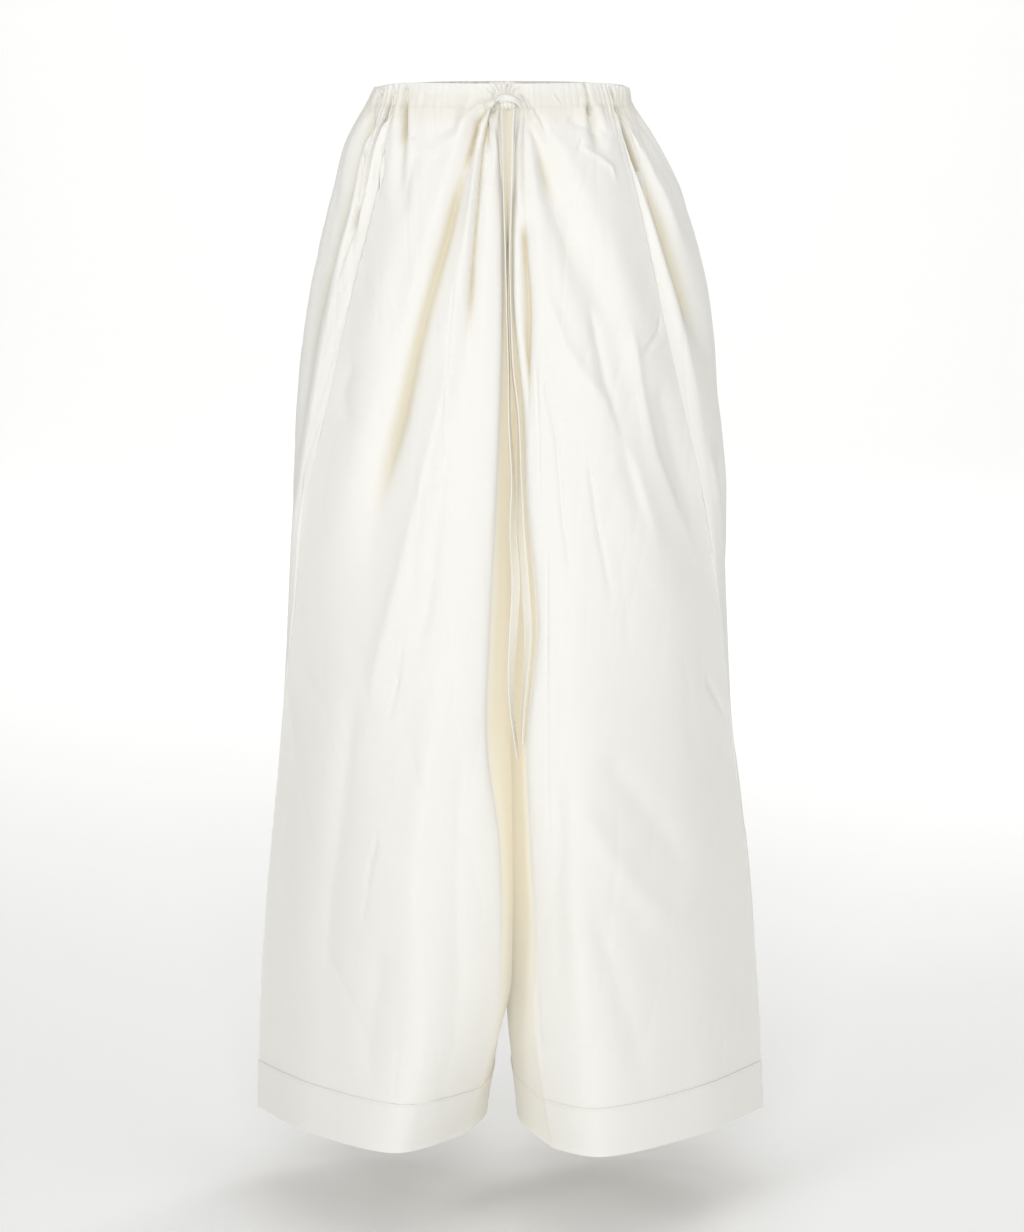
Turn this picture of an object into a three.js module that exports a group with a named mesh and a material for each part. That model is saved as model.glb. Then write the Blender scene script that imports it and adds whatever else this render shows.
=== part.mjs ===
// Drawstring wide-leg trousers, filled out as when worn.
// Millimetres, +Z up. The wearer faces -Y, and +X is the wearer's left.
// The origin is the centre of the waist opening, level with the casing's top edge.

import * as THREE from "three";

// Driving dimensions
const clothThickness = 1.2;
const casingThickness = 2.4;
const casingHeight = 22;
const casingPuff = 1.0;
const casingTop = 2;
const trouserLength = 1054;
const hemDepth = 50;
const seamGap = 0.4;
const layerGap = 0.3;
const centreX = 3;
const crotchZ = -300;
const inseamY = 16;
const innerSway = 8;
const swayStart = -240;
const swayEnd = -900;
const pocketTop = 60;
const pocketLength = 170;
const facingColumns = 4;
const tieWidth = 9;
const tieThickness = 1.2;

// One row for each level. Right and left are the wearer's, and x values count outwards from x = 0.
// lean: how much further forward the left fold edge lies, and further back the right one.
// out: widest point. seam: side seam. fold: front edge of the valley between the legs. crease: front ridge.
// inner: inside of the leg at the inseam. rise: centre front and centre back seams above the crotch, inseam below it.
const sectionColumns = [
  "z", "outRight", "outLeft", "seamRight", "seamLeft", "foldRight", "foldLeft", "creaseRight", "creaseLeft",
  "innerRight", "innerLeft", "outY", "seamY", "foldY", "creaseY", "frontRise", "backX", "backY", "backFoldX",
  "backFoldY", "backRise", "bulge", "lean",
];
const sectionRows = [
  [0, 127, 123, 102, 102, 8, 14, 52, 52, -3, 3, -5, -62, -97, -89, -98, 60, 84, 20, 94, 95, 3, 0],
  [-22, 134, 125, 106, 108, 8, 14, 54, 54, -3, 3, -5, -62, -98, -90, -98, 60, 85, 20, 95, 96, 4, 0],
  [-60, 155, 148, 117, 118, 3, 9, 56, 56, -3, 3, 0, -67, -104, -100, -92, 66, 98, 20, 105, 106, 6, 0],
  [-110, 168, 176, 125, 131, -0.5, 7.5, 58, 58, -3, 3, 5, -73, -112, -111, -78, 75, 113, 18, 117, 117, 8, 0],
  [-160, 180, 192, 138, 142, -0.5, 7.5, 60, 60, -3, 3, 8, -75, -118, -119, -58, 84, 125, 14, 126, 122, 10, 0],
  [-220, 193, 204, 153, 155, 0, 9, 60, 62, -3, 3, 10, -76, -124, -127, -30, 92, 131, 12, 127, 104, 13, 0],
  [-300, 204, 216, 171, 173, 2, 18, 58, 64, -2, 4, 12, -72, -130, -135, 16, 98, 129, 14, 122, 16, 16, 0],
  [-400, 213, 223, 194, 197, 6, 22, 56, 66, -1, 5, 15, -60, -136, -142, 16, 102, 127, 16, 118, 16, 18, 0],
  [-520, 216, 223, 208, 216, 12, 32, 58, 68, -1, 5, 18, -42, -142, -150, 16, 106, 128, 17, 117, 16, 19, 0],
  [-640, 223, 229, 224, 230, 15, 22, 72, 70, -1, 5, 24, -22, -146, -157, 16, 110, 131, 18, 118, 16, 20, 0],
  [-740, 231, 243, 235, 242, 3, 25, 85, 74, -1, 5, 32, -12, -144, -164, 16, 114, 134, 19, 119, 16, 20, 0],
  [-840, 241, 253, 245, 254, 1, 30, 86, 78, -1, 5, 40, -5, -140, -171, 16, 118, 138, 20, 120, 16, 20, 2],
  [-940, 248, 259, 252, 263, 6, 28, 84, 86, 2, 2, 46, 0, -131, -173, 16, 124, 143, 24, 116, 16, 20, 8],
  [-1052, 250, 263, 255, 268, 36, 46, 106, 94, 18, 13, 50, 5, -117, -170, 16, 130, 150, 32, 98, 16, 20, 22],
];

// Folds that show on the front, along a straight line from (x0, z0) to (x1, z1). A negative depth is a ridge.
const foldColumns = ["side", "x0", "z0", "x1", "z1", "width0", "width1", "depth0", "depth1"];
const frontFoldRows = [
  ["right", -22, -20, -132, -450, 7, 22, 8, 5],
  ["right", -12, -28, -14, -80, 4, 4, 4, 4],
  ["right", -18, -30, -36, -260, 5, 9, 4, 4],
  ["right", -92, -22, -100, -110, 5, 9, 7, 3],
  ["right", -10, -18, -56, -56, 6, 10, -3, -2],
  ["right", -96, -180, -150, -560, 14, 30, 3, 3],
  ["left", 20, -24, 22, -110, 4, 6, 4, 3],
  ["left", 22, -130, 29, -310, 6, 8, 3, 5],
  ["left", 30, -36, 92, -200, 9, 20, 6, 5],
  ["left", 88, -190, 190, -470, 18, 30, 5, 5],
  ["left", 84, -20, 94, -64, 4, 7, 7, 3],
  ["left", 14, -18, 48, -52, 4, 7, -2, -2],
];

// Folds behind the side seam, at a share of the way round the back panel: 0 at the side seam, 6 at the centre back.
const backFoldColumns = ["side", "t0", "z0", "t1", "z1", "width0", "width1", "depth0", "depth1"];
const backFoldRows = [
  ["left", 0.35, -22, 1.5, -290, 0.25, 0.4, 9, 8],
  ["left", 2.4, -30, 2.2, -420, 0.3, 0.6, 5, 5],
  ["left", 4.2, -40, 3.6, -560, 0.3, 0.6, 5, 4],
  ["right", 1.3, -22, 1.7, -420, 0.25, 0.4, 7, 7],
  ["right", 2.9, -30, 2.6, -480, 0.3, 0.6, 5, 5],
  ["right", 4.6, -40, 4.0, -620, 0.3, 0.6, 5, 4],
];

// Columns of cloth between one control point of a section and the next.
const frontColumns = [2, 3, 3, 8, 6, 6];
const backColumns = [4, 3, 5, 5, 5, 3];
const panelLevels = [
  22.8, 38, 58, 82, 110, 140, 170, 202, 236, 268, 300, 356, 426, 510, 600, 700, 800, 900, 1002, trouserLength,
];

// sideDip: how much lower the casing's top edge lies at the side than at the front and back.
// hemLift: how much higher the hem hangs at the front ridge than at the side.
const sides = [
  { name: "right", sign: -1, sideDip: 7, hemLift: 7 },
  { name: "left", sign: 1, sideDip: 10, hemLift: 3 },
];

const named = (columns, rows) =>
  rows.map((row) => Object.fromEntries(columns.map((column, i) => [column, row[i]])));
const sections = named(sectionColumns, sectionRows);
const frontFolds = named(foldColumns, frontFoldRows);
const backFolds = named(backFoldColumns, backFoldRows);

const clamp01 = (value) => Math.min(1, Math.max(0, value));
const mix = (a, b, share) => a + (b - a) * share;
const ease = (value) => clamp01(value) ** 2 * (3 - 2 * clamp01(value));

// The slope of a section column at row i.
function slope(column, i) {
  const before = sections[Math.max(i - 1, 0)];
  const after = sections[Math.min(i + 1, sections.length - 1)];
  return (after[column] - before[column]) / (after.z - before.z);
}

// A section column at level z, smooth from row to row.
function size(column, z) {
  let i = 0;
  while (i < sections.length - 2 && z < sections[i + 1].z) i += 1;
  const a = sections[i];
  const b = sections[i + 1];
  const span = b.z - a.z;
  const s = clamp01((z - a.z) / span);
  const rise = b[column] - a[column];
  const bend0 = slope(column, i) * span - rise;
  const bend1 = rise - slope(column, i + 1) * span;
  return a[column] + rise * s + s * (1 - s) * (bend0 * (1 - s) + bend1 * s);
}

// In front of the inseams both inner walls sway to the wearer's left, so that one leg lies along the other.
const sway = (z) => innerSway * ease((swayStart - z) / 60) * (1 - ease((swayEnd - z) / 70));

// The casing's top edge falls away at the sides, and the hem hangs higher in front.
const dip = (side, x, z) => side.sideDip * Math.min(1, (x / 124) ** 8) * clamp01((z + casingHeight) / 24);
const hemRise = (side, y, z) => side.hemLift * clamp01(-y / 165) * ease((-z - 800) / 200);

// How far in the front or back runs: to the rise seam above the crotch, and to the inseam below it.
const seamY = (column, z) => (z > crotchZ ? size(column, z) : inseamY);
const innerX = (side, cap, z) =>
  z > crotchZ ? centreX + side.sign * 0.01 : side.sign * size("inner" + cap, z);

// The control points of one side's front, from the centre front or inseam to the side seam.
function frontPoints(side, z) {
  const cap = side.name === "right" ? "Right" : "Left";
  const deep = seamY("frontRise", z);
  const foldX = side.sign * size("fold" + cap, z);
  const foldY = size("foldY", z) - side.sign * size("lean", z);
  const tuck = Math.min(16, 0.35 * (deep - foldY));
  const seamX = innerX(side, cap, z);
  const crease = [side.sign * size("crease" + cap, z), size("creaseY", z)];
  const end = [side.sign * size("seam" + cap, z), size("seamY", z)];
  const bulge = size("bulge", z);
  const wallY = mix(deep, foldY + tuck, 0.45);
  const fan = 6 * (1 - ease((deep - foldY) / 40));
  return [
    [seamX, deep],
    [mix(seamX, foldX, z > crotchZ ? 0.4 : 0.15) + sway(z), wallY],
    [foldX, foldY + tuck],
    [foldX + side.sign * (10 + fan), foldY - 3],
    crease,
    [mix(crease[0], end[0], 0.5) + side.sign * bulge * 0.7, mix(crease[1], end[1], 0.5) - bulge * 0.7],
    end,
  ];
}

// The control points of one side's back, from the side seam to the centre back or inseam.
function backPoints(side, z) {
  const cap = side.name === "right" ? "Right" : "Left";
  const start = [side.sign * size("seam" + cap, z), size("seamY", z)];
  const out = [side.sign * size("out" + cap, z), size("outY", z)];
  const back = [side.sign * size("backX", z), size("backY", z)];
  const deep = seamY("backRise", z);
  const seamX = innerX(side, cap, z);
  const bulge = 10 + size("bulge", z);
  const foldX = side.sign * size("backFoldX", z);
  return [
    start,
    [mix(start[0], out[0], 0.45), mix(start[1], out[1], 0.14)],
    out,
    [mix(out[0], back[0], 0.42) + side.sign * bulge * 0.7, mix(out[1], back[1], 0.42) + bulge * 0.7],
    back,
    [foldX, size("backFoldY", z)],
    [seamX, deep],
  ];
}

const curveOf = (points, z) =>
  new THREE.CatmullRomCurve3(points.map(([x, y]) => new THREE.Vector3(x, y, z)), false, "centripetal");

// The place on a panel before folds, t running from 0 to 6 over its control points.
function plainPoint(panel, side, t, z) {
  const points = panel === "front" ? frontPoints(side, z) : backPoints(side, z);
  return curveOf(points, z).getPoint(clamp01(t / (points.length - 1)));
}

// The direction that faces out of the cloth.
function outward(panel, side, t, z) {
  const reach = 0.04;
  const along = plainPoint(panel, side, Math.min(t + reach, 6), z).sub(
    plainPoint(panel, side, Math.max(t - reach, 0), z),
  );
  const down = plainPoint(panel, side, t, z - 4).sub(plainPoint(panel, side, t, z + 4));
  return along.cross(down).multiplyScalar(-side.sign).normalize();
}

// How strongly one fold shows at a distance of q widths from its line: a trough between two soft ridges.
const foldShape = (q) => Math.exp(-q * q) - 0.3 * (Math.exp(-((q - 1.7) ** 2)) + Math.exp(-((q + 1.7) ** 2)));

function foldDepth(fold, at, across0, across1, z) {
  const s = (z - fold.z0) / (fold.z1 - fold.z0);
  if (s < -0.1 || s > 1.25) return 0;
  const fade = ease((s + 0.1) / 0.16) * ease((1.25 - s) / 0.55);
  const q = (at - mix(across0, across1, s)) / mix(fold.width0, fold.width1, clamp01(s));
  return fade * mix(fold.depth0, fold.depth1, clamp01(s)) * foldShape(q);
}

// The count of cloth columns up to t.
function columnAt(columns, t) {
  const whole = Math.min(Math.floor(t), columns.length - 1);
  return columns.slice(0, whole).reduce((sum, n) => sum + n, 0) + (t - whole) * columns[whole];
}

// Gathers at the waist: their height, and how far they run down the panel.
const gather = {
  centre: { height: 1.0, reach: 26 },
  side: { height: 2.2, reach: 60 },
  back: { height: 2.8, reach: 95 },
};

function gatherLift(panel, t, z, finer) {
  const drop = Math.max(0, -casingHeight - z);
  const wave = Math.cos(Math.PI * finer * columnAt(panel === "front" ? frontColumns : backColumns, t));
  const share = finer > 1 ? 0.7 : 1;
  if (panel === "back") return share * wave * gather.back.height * Math.exp(-drop / gather.back.reach);
  const centre = gather.centre.height * (1 - ease((t - 2.6) / 0.5)) * Math.exp(-drop / gather.centre.reach);
  const side = gather.side.height * ease((t - 5) / 0.4) * Math.exp(-drop / gather.side.reach);
  return share * wave * (centre + side);
}

// The outer face of the cloth. Gathers and folds fade out at the seams that lie in the valley.
function clothPoint(panel, side, t, z, finer = 1, extra = 0) {
  const point = plainPoint(panel, side, t, z);
  let lift = gatherLift(panel, t, z, finer);
  if (panel === "front") {
    const facing = ease((t - 2.2) / 0.6) * ease((6.4 - t) / 0.5);
    for (const fold of frontFolds)
      if (fold.side === side.name) lift -= facing * foldDepth(fold, point.x, fold.x0, fold.x1, z);
  } else {
    const facing = ease((t + 0.1) / 0.3) * ease((5.9 - t) / 0.6);
    for (const fold of backFolds)
      if (fold.side === side.name) lift -= facing * foldDepth(fold, t, fold.t0, fold.t1, z);
  }
  const quiet = z < crotchZ ? 1 : ease((panel === "front" ? t : 6 - t) / 0.5);
  const made = point.addScaledVector(outward(panel, side, t, z), lift * quiet + extra);
  made.z += hemRise(side, made.y, z) - dip(side, made.x, z);
  return made;
}

// Every t at which a panel has a column of cloth.
function columnPlaces(columns, finer = 1) {
  const places = [];
  columns.forEach((count, segment) => {
    for (let i = 0; i < count * finer; i += 1) places.push(segment + i / (count * finer));
  });
  return [...places, columns.length];
}

// A ring of cloth round one side at one level: front columns, then back columns.
function halfRing(side, z, finer = 1, extra = 0) {
  const front = columnPlaces(frontColumns, finer).map((t) => clothPoint("front", side, t, z, finer, extra));
  const back = columnPlaces(backColumns, finer).map((t) => clothPoint("back", side, t, z, finer, extra));
  const seam = front.at(-1).clone().add(back[0]).multiplyScalar(0.5);
  front[front.length - 1] = seam;
  back[0] = seam.clone();
  return { front, back };
}

// The normal at each point of a grid that is rows of points, the last row lowest.
function gridNormals(grid, sign) {
  return grid.map((row, r) =>
    row.map((_, c) => {
      const before = row[Math.max(c - 1, 0)];
      const after = row[Math.min(c + 1, row.length - 1)];
      const above = grid[Math.max(r - 1, 0)][c];
      const below = grid[Math.min(r + 1, grid.length - 1)][c];
      const along = after.clone().sub(before);
      return along.cross(below.clone().sub(above)).multiplyScalar(-sign).normalize();
    }),
  );
}

// A closed wall from an outer and an inner grid of points. A ring's last column joins its first.
function wallGeometry(outer, inner, ring = false) {
  const rows = outer.length;
  const columns = outer[0].length;
  const positions = [...outer.flat(), ...inner.flat()].flatMap((p) => [p.x, p.y, p.z]);
  const triangles = [];
  const at = (layer, r, c) => layer * rows * columns + r * columns + (c % columns);
  const quad = (a, b, c, d) => triangles.push(a, b, c, a, c, d);
  const spans = ring ? columns : columns - 1;
  for (let r = 0; r < rows - 1; r += 1)
    for (let c = 0; c < spans; c += 1) {
      quad(at(0, r, c), at(0, r + 1, c), at(0, r + 1, c + 1), at(0, r, c + 1));
      quad(at(1, r, c), at(1, r, c + 1), at(1, r + 1, c + 1), at(1, r + 1, c));
    }
  for (let c = 0; c < spans; c += 1) {
    quad(at(0, 0, c), at(0, 0, c + 1), at(1, 0, c + 1), at(1, 0, c));
    quad(at(0, rows - 1, c + 1), at(0, rows - 1, c), at(1, rows - 1, c), at(1, rows - 1, c + 1));
  }
  if (!ring)
    for (let r = 0; r < rows - 1; r += 1) {
      quad(at(0, r + 1, 0), at(0, r, 0), at(1, r, 0), at(1, r + 1, 0));
      quad(at(0, r, columns - 1), at(0, r + 1, columns - 1), at(1, r + 1, columns - 1), at(1, r, columns - 1));
    }
  const geometry = new THREE.BufferGeometry();
  geometry.setAttribute("position", new THREE.Float32BufferAttribute(positions, 3));
  geometry.setIndex(triangles);
  return faceOutwards(geometry);
}

// Turns every face of a closed body round if its volume comes out negative.
function faceOutwards(geometry) {
  const p = geometry.getAttribute("position");
  const index = Array.from(geometry.index.array);
  const corner = (i) => new THREE.Vector3().fromBufferAttribute(p, i);
  let volume = 0;
  for (let i = 0; i < index.length; i += 3)
    volume += corner(index[i]).dot(corner(index[i + 1]).cross(corner(index[i + 2])));
  if (volume < 0)
    for (let i = 0; i < index.length; i += 3) [index[i + 1], index[i + 2]] = [index[i + 2], index[i + 1]];
  geometry.setIndex(index);
  geometry.computeVertexNormals();
  return geometry;
}

const moved = (grid, normals, distance) =>
  grid.map((row, r) => row.map((p, c) => p.clone().addScaledVector(normals[r][c], distance)));

// Where two pieces meet, both walls end on one plane, and each stands back half the seam's gap from it.
function trimEdge(outer, inner, column, towards) {
  const middle = outer.length - 1;
  outer.forEach((row, r) => {
    const next = outer[Math.min(r + 1, middle)][column].clone().sub(outer[Math.max(r - 1, 0)][column]);
    const through = inner[r][column].clone().sub(row[column]);
    const across = next.cross(through).normalize();
    if (across.dot(row[column + towards].clone().sub(row[column])) < 0) across.negate();
    row[column].addScaledVector(across, seamGap / 2);
    inner[r][column].addScaledVector(across, seamGap / 2);
  });
}

// At the centre front and centre back the walls end on the plane between the two sides.
function trimCentre(outer, inner, column, side, thickness, facing) {
  outer.forEach((row, r) => {
    if (row[column].z < crotchZ + 1) return;
    row[column].x = centreX + (side.sign * seamGap) / 2;
    const n = inner[r][column].clone().sub(row[column]);
    n.x = 0;
    n.y = facing * Math.max(Math.abs(n.y), 0.4 * thickness);
    n.setLength(thickness);
    inner[r][column].copy(row[column]).add(n);
  });
}

const fabric = new THREE.MeshStandardMaterial({ color: 0xf3f0e4, roughness: 0.75, metalness: 0 });
const bandFabric = new THREE.MeshStandardMaterial({ color: 0xf1eddd, roughness: 0.75, metalness: 0 });
const tieFabric = new THREE.MeshStandardMaterial({ color: 0xf2eedf, roughness: 0.7, metalness: 0 });

const trousers = new THREE.Group();

function addPiece(name, geometry, material) {
  const mesh = new THREE.Mesh(geometry, material);
  mesh.name = name;
  trousers.add(mesh);
  return mesh;
}

// Front and back panels of one side, cut from one ring so that their walls meet at the side seam and inseam.
function addPanels(side) {
  const rings = panelLevels.map((drop) => halfRing(side, -drop));
  const whole = rings.map(({ front, back }) => [...front, ...back.slice(1)]);
  const normals = gridNormals(whole, side.sign);
  const last = whole[0].length - 1;
  whole.forEach((row, r) => {
    if (row[0].z > crotchZ + 1) return;
    const shared = normals[r][0].clone().add(normals[r][last]).normalize();
    normals[r][0] = shared;
    normals[r][last] = shared.clone();
  });
  const inside = moved(whole, normals, -clothThickness);
  const seam = rings[0].front.length - 1;
  const cut = (grid, from, to) => grid.map((row) => row.slice(from, to + 1).map((p) => p.clone()));
  const front = { outer: cut(whole, 0, seam), inner: cut(inside, 0, seam) };
  const back = { outer: cut(whole, seam, last), inner: cut(inside, seam, last) };
  const frontEnd = front.outer[0].length - 1;
  const backEnd = back.outer[0].length - 1;
  trimEdge(front.outer, front.inner, frontEnd, -1);
  trimEdge(front.outer, front.inner, 0, 1);
  trimEdge(back.outer, back.inner, 0, 1);
  trimEdge(back.outer, back.inner, backEnd, -1);
  trimCentre(front.outer, front.inner, 0, side, clothThickness, 1);
  trimCentre(back.outer, back.inner, backEnd, side, clothThickness, -1);
  addPiece(`front_${side.name}`, wallGeometry(front.outer, front.inner), fabric);
  addPiece(`back_${side.name}`, wallGeometry(back.outer, back.inner), fabric);
  return { whole, normals, back };
}

// The deep hem band lies outside the panels and ends level with them.
function addHemBand(side, whole, normals) {
  const rows = whole.length;
  const pick = (grid) => grid.slice(rows - 2).map((row) => row.slice(0, -1).map((p) => p.clone()));
  const under = pick(whole);
  const facing = pick(normals);
  const inner = moved(under, facing, layerGap);
  const outer = moved(under, facing, layerGap + clothThickness);
  addPiece(`hem_band_${side.name}`, wallGeometry(outer, inner, true), bandFabric);
}

// Pocket facing: a strip along the side seam, made from the back panel's points.
function addPocketFacing(side, whole, normals) {
  const seam = frontColumns.reduce((sum, n) => sum + n, 0);
  const strip = (grid, direct) =>
    grid
      .filter((_, r) => panelLevels[r] > pocketTop && panelLevels[r] < pocketTop + pocketLength)
      .map((row) => {
        const start = row[seam].clone().lerp(row[seam + 1], 0.12);
        const places = [start, ...row.slice(seam + 1, seam + facingColumns).map((p) => p.clone())];
        return direct ? places.map((p) => p.normalize()) : places;
      });
  const under = strip(whole, false);
  const facing = strip(normals, true);
  const inner = moved(under, facing, layerGap);
  const outer = moved(under, facing, layerGap + clothThickness);
  addPiece(`pocket_facing_${side.name}`, wallGeometry(outer, inner), bandFabric);
}

// The casing is a turned-over tunnel of cloth, a little puffed out at mid height.
const casingLevels = [
  { z: casingTop, puff: 0 },
  { z: (casingTop - casingHeight) / 2, puff: casingPuff },
  { z: -casingHeight, puff: 0 },
];

// The casing's whole ring: centre front, right side, centre back, left side, and back to the centre front.
function addCasing() {
  const [right, left] = sides;
  const rows = casingLevels.map(({ z, puff }) => {
    const r = halfRing(right, z, 2, puff);
    const l = halfRing(left, z, 2, puff);
    const way = (half) => [...half.front, ...half.back.slice(1)];
    return [...way(r), ...way(l).reverse().slice(1)];
  });
  const normals = gridNormals(rows, right.sign);
  const inside = moved(rows, normals, -casingThickness);
  const sideSeam = 2 * frontColumns.reduce((sum, n) => sum + n, 0);
  const end = rows[0].length - 1;
  const cut = (from, to) => ({
    outer: rows.map((row) => row.slice(from, to + 1).map((p) => p.clone())),
    inner: inside.map((row) => row.slice(from, to + 1).map((p) => p.clone())),
  });
  const frontRight = cut(0, sideSeam);
  const back = cut(sideSeam, end - sideSeam);
  const frontLeft = cut(end - sideSeam, end);
  const lastOf = (piece) => piece.outer[0].length - 1;
  trimEdge(frontRight.outer, frontRight.inner, lastOf(frontRight), -1);
  trimEdge(back.outer, back.inner, 0, 1);
  trimEdge(back.outer, back.inner, lastOf(back), -1);
  trimEdge(frontLeft.outer, frontLeft.inner, 0, 1);
  trimCentre(frontRight.outer, frontRight.inner, 0, right, casingThickness, 1);
  trimCentre(frontLeft.outer, frontLeft.inner, lastOf(frontLeft), left, casingThickness, 1);
  addPiece("casing_front_right", wallGeometry(frontRight.outer, frontRight.inner), bandFabric);
  addPiece("casing_front_left", wallGeometry(frontLeft.outer, frontLeft.inner), bandFabric);
  addPiece("casing_back", wallGeometry(back.outer, back.inner), bandFabric);
}

// A flat tape along a curve: at each step its width turns by the given angle from the X axis.
function tapeGeometry(path, angles, width, thickness, steps) {
  const curve = new THREE.CatmullRomCurve3(path.map((p) => new THREE.Vector3(...p)), false, "centripetal");
  const half = [
    [1, 0], [0.8, 0.5], [0, 0.62], [-0.8, 0.5], [-1, 0], [-0.8, -0.5], [0, -0.62], [0.8, -0.5],
  ];
  const rings = [];
  for (let i = 0; i <= steps; i += 1) {
    const s = i / steps;
    const place = curve.getPointAt(s);
    const tangent = curve.getTangentAt(s);
    const k = s * (angles.length - 1);
    const low = Math.min(Math.floor(k), angles.length - 2);
    const angle = THREE.MathUtils.degToRad(mix(angles[low], angles[low + 1], k - low));
    const wide = new THREE.Vector3(Math.cos(angle), Math.sin(angle), 0);
    wide.addScaledVector(tangent, -wide.dot(tangent)).normalize();
    const thin = tangent.clone().cross(wide).normalize();
    rings.push(
      half.map(([u, v]) =>
        place.clone().addScaledVector(wide, (u * width) / 2).addScaledVector(thin, (v * thickness) / 1.24),
      ),
    );
  }
  const sidesCount = half.length;
  const positions = rings.flat().flatMap((p) => [p.x, p.y, p.z]);
  const triangles = [];
  for (let r = 0; r < steps; r += 1)
    for (let c = 0; c < sidesCount; c += 1) {
      const d = (c + 1) % sidesCount;
      const [a, b] = [r * sidesCount + c, r * sidesCount + d];
      const [e, f] = [a + sidesCount, b + sidesCount];
      triangles.push(a, b, f, a, f, e);
    }
  for (let c = 1; c < sidesCount - 1; c += 1) {
    triangles.push(0, c + 1, c);
    const base = steps * sidesCount;
    triangles.push(base, base + c, base + c + 1);
  }
  const geometry = new THREE.BufferGeometry();
  geometry.setAttribute("position", new THREE.Float32BufferAttribute(positions, 3));
  geometry.setIndex(triangles);
  return faceOutwards(geometry);
}

// The two free ends of the drawstring, hanging from the knot into the valley between the legs.
// Routes chosen by hand: x, y, z.
const tieRoutes = {
  right: [
    [1.2, -105.2, -21.5], [1.6, -109, -34], [2.0, -113, -60], [2.4, -116, -110], [2.6, -118, -160], [3.2, -121, -220], [4.0, -123, -270],
    [6.5, -125, -320], [8.0, -126, -380], [8.5, -127, -430], [8.0, -127, -480], [11.0, -128, -530], [9.5, -129, -570],
    [9.0, -130, -610], [13.0, -131, -655],
  ],
  left: [
    [6.8, -105.2, -21.5], [6.0, -109, -34], [5.4, -113, -60], [5.2, -116, -110], [5.4, -118, -160], [6.6, -121, -220], [8.5, -124, -270],
    [13.0, -125, -320], [15.0, -125, -380], [17.5, -127, -430], [18.0, -128, -480], [21.5, -130, -530],
    [20.5, -131, -570], [18.0, -132, -610], [17.5, -132, -640],
  ],
};
// How the tape's face turns on its way down, in degrees from facing the front.
const tieTurns = {
  right: [70, 78, 85, 90, 88, 84, 80, 72, 66, 60, 55, 62, 50, 58, 80],
  left: [108, 100, 95, 92, 92, 95, 100, 108, 112, 104, 96, 104, 112, 100, 92],
};

// The knot at the centre front, and the arch of tape that crosses over it.
const knotCentre = [centreX + 1, -106, -15];
const knotHalf = [8, 6.5, 6.5];
const archRoute = [
  [-7.5, -101.6, -13], [-5.2, -107.9, -11.3], [0, -111.8, -10.4], [4, -112.6, -10.7], [9, -111.5, -12.1],
  [14.2, -106.4, -16], [17, -101.6, -20],
];

function addKnot() {
  const lump = new THREE.SphereGeometry(1, 14, 9);
  lump.scale(...knotHalf);
  lump.rotateX(Math.PI / 2);
  lump.translate(...knotCentre);
  addPiece("tie_knot", lump, tieFabric);
}

// The arch stands on edge over the knot, so its width runs along Z.
function archGeometry() {
  const curve = new THREE.CatmullRomCurve3(archRoute.map((p) => new THREE.Vector3(...p)), false, "centripetal");
  const steps = 12;
  const outer = [];
  const inner = [];
  const hub = new THREE.Vector3(knotCentre[0], -101, -19);
  for (let i = 0; i <= steps; i += 1) {
    const place = curve.getPointAt(i / steps);
    const tangent = curve.getTangentAt(i / steps);
    const lift = place.clone().sub(hub);
    lift.addScaledVector(tangent, -lift.dot(tangent)).normalize();
    const wide = tangent.clone().cross(lift).normalize();
    const half = 0.5 * mix(4.5, 6, Math.sin((Math.PI * i) / steps));
    const ends = [-half, half].map((reach) => place.clone().addScaledVector(wide, reach));
    outer.push(ends.map((p) => p.clone().addScaledVector(lift, tieThickness / 2)));
    inner.push(ends.map((p) => p.clone().addScaledVector(lift, -tieThickness / 2)));
  }
  return wallGeometry(outer, inner);
}

for (const side of sides) {
  const { whole, normals } = addPanels(side);
  addHemBand(side, whole, normals);
  addPocketFacing(side, whole, normals);
}
addCasing();
addKnot();
addPiece("tie_arch", archGeometry(), tieFabric);
for (const side of sides)
  addPiece(
    `tie_end_${side.name}`,
    tapeGeometry(tieRoutes[side.name], tieTurns[side.name], tieWidth, tieThickness, 36),
    tieFabric,
  );

export default trousers;
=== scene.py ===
"""Ivory drawstring wide-leg trousers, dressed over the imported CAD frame.

Lengths in the tables are millimetres, in the same frame as the CAD: +Z up, the wearer faces -Y and the
wearer's left is +X, with the origin at the centre of the waist opening.
"""

import math

import bpy
import numpy as np
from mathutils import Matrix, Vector


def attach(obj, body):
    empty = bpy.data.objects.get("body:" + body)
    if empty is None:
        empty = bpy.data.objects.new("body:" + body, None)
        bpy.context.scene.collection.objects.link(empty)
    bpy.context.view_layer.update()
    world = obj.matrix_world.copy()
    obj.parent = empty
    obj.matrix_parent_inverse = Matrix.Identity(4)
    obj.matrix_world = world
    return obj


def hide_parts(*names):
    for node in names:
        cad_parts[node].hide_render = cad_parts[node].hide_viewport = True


bl_info = {
    "name": "Drawstring wide-leg trousers",
    "version": (1, 0, 0),
    "blender": (4, 5, 0),
    "location": "View3D > Sidebar > Trousers",
    "description": "Makes the cloth, casing, ties, hems and stitching of a pair of wide-leg trousers",
    "category": "Add Mesh",
}

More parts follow.
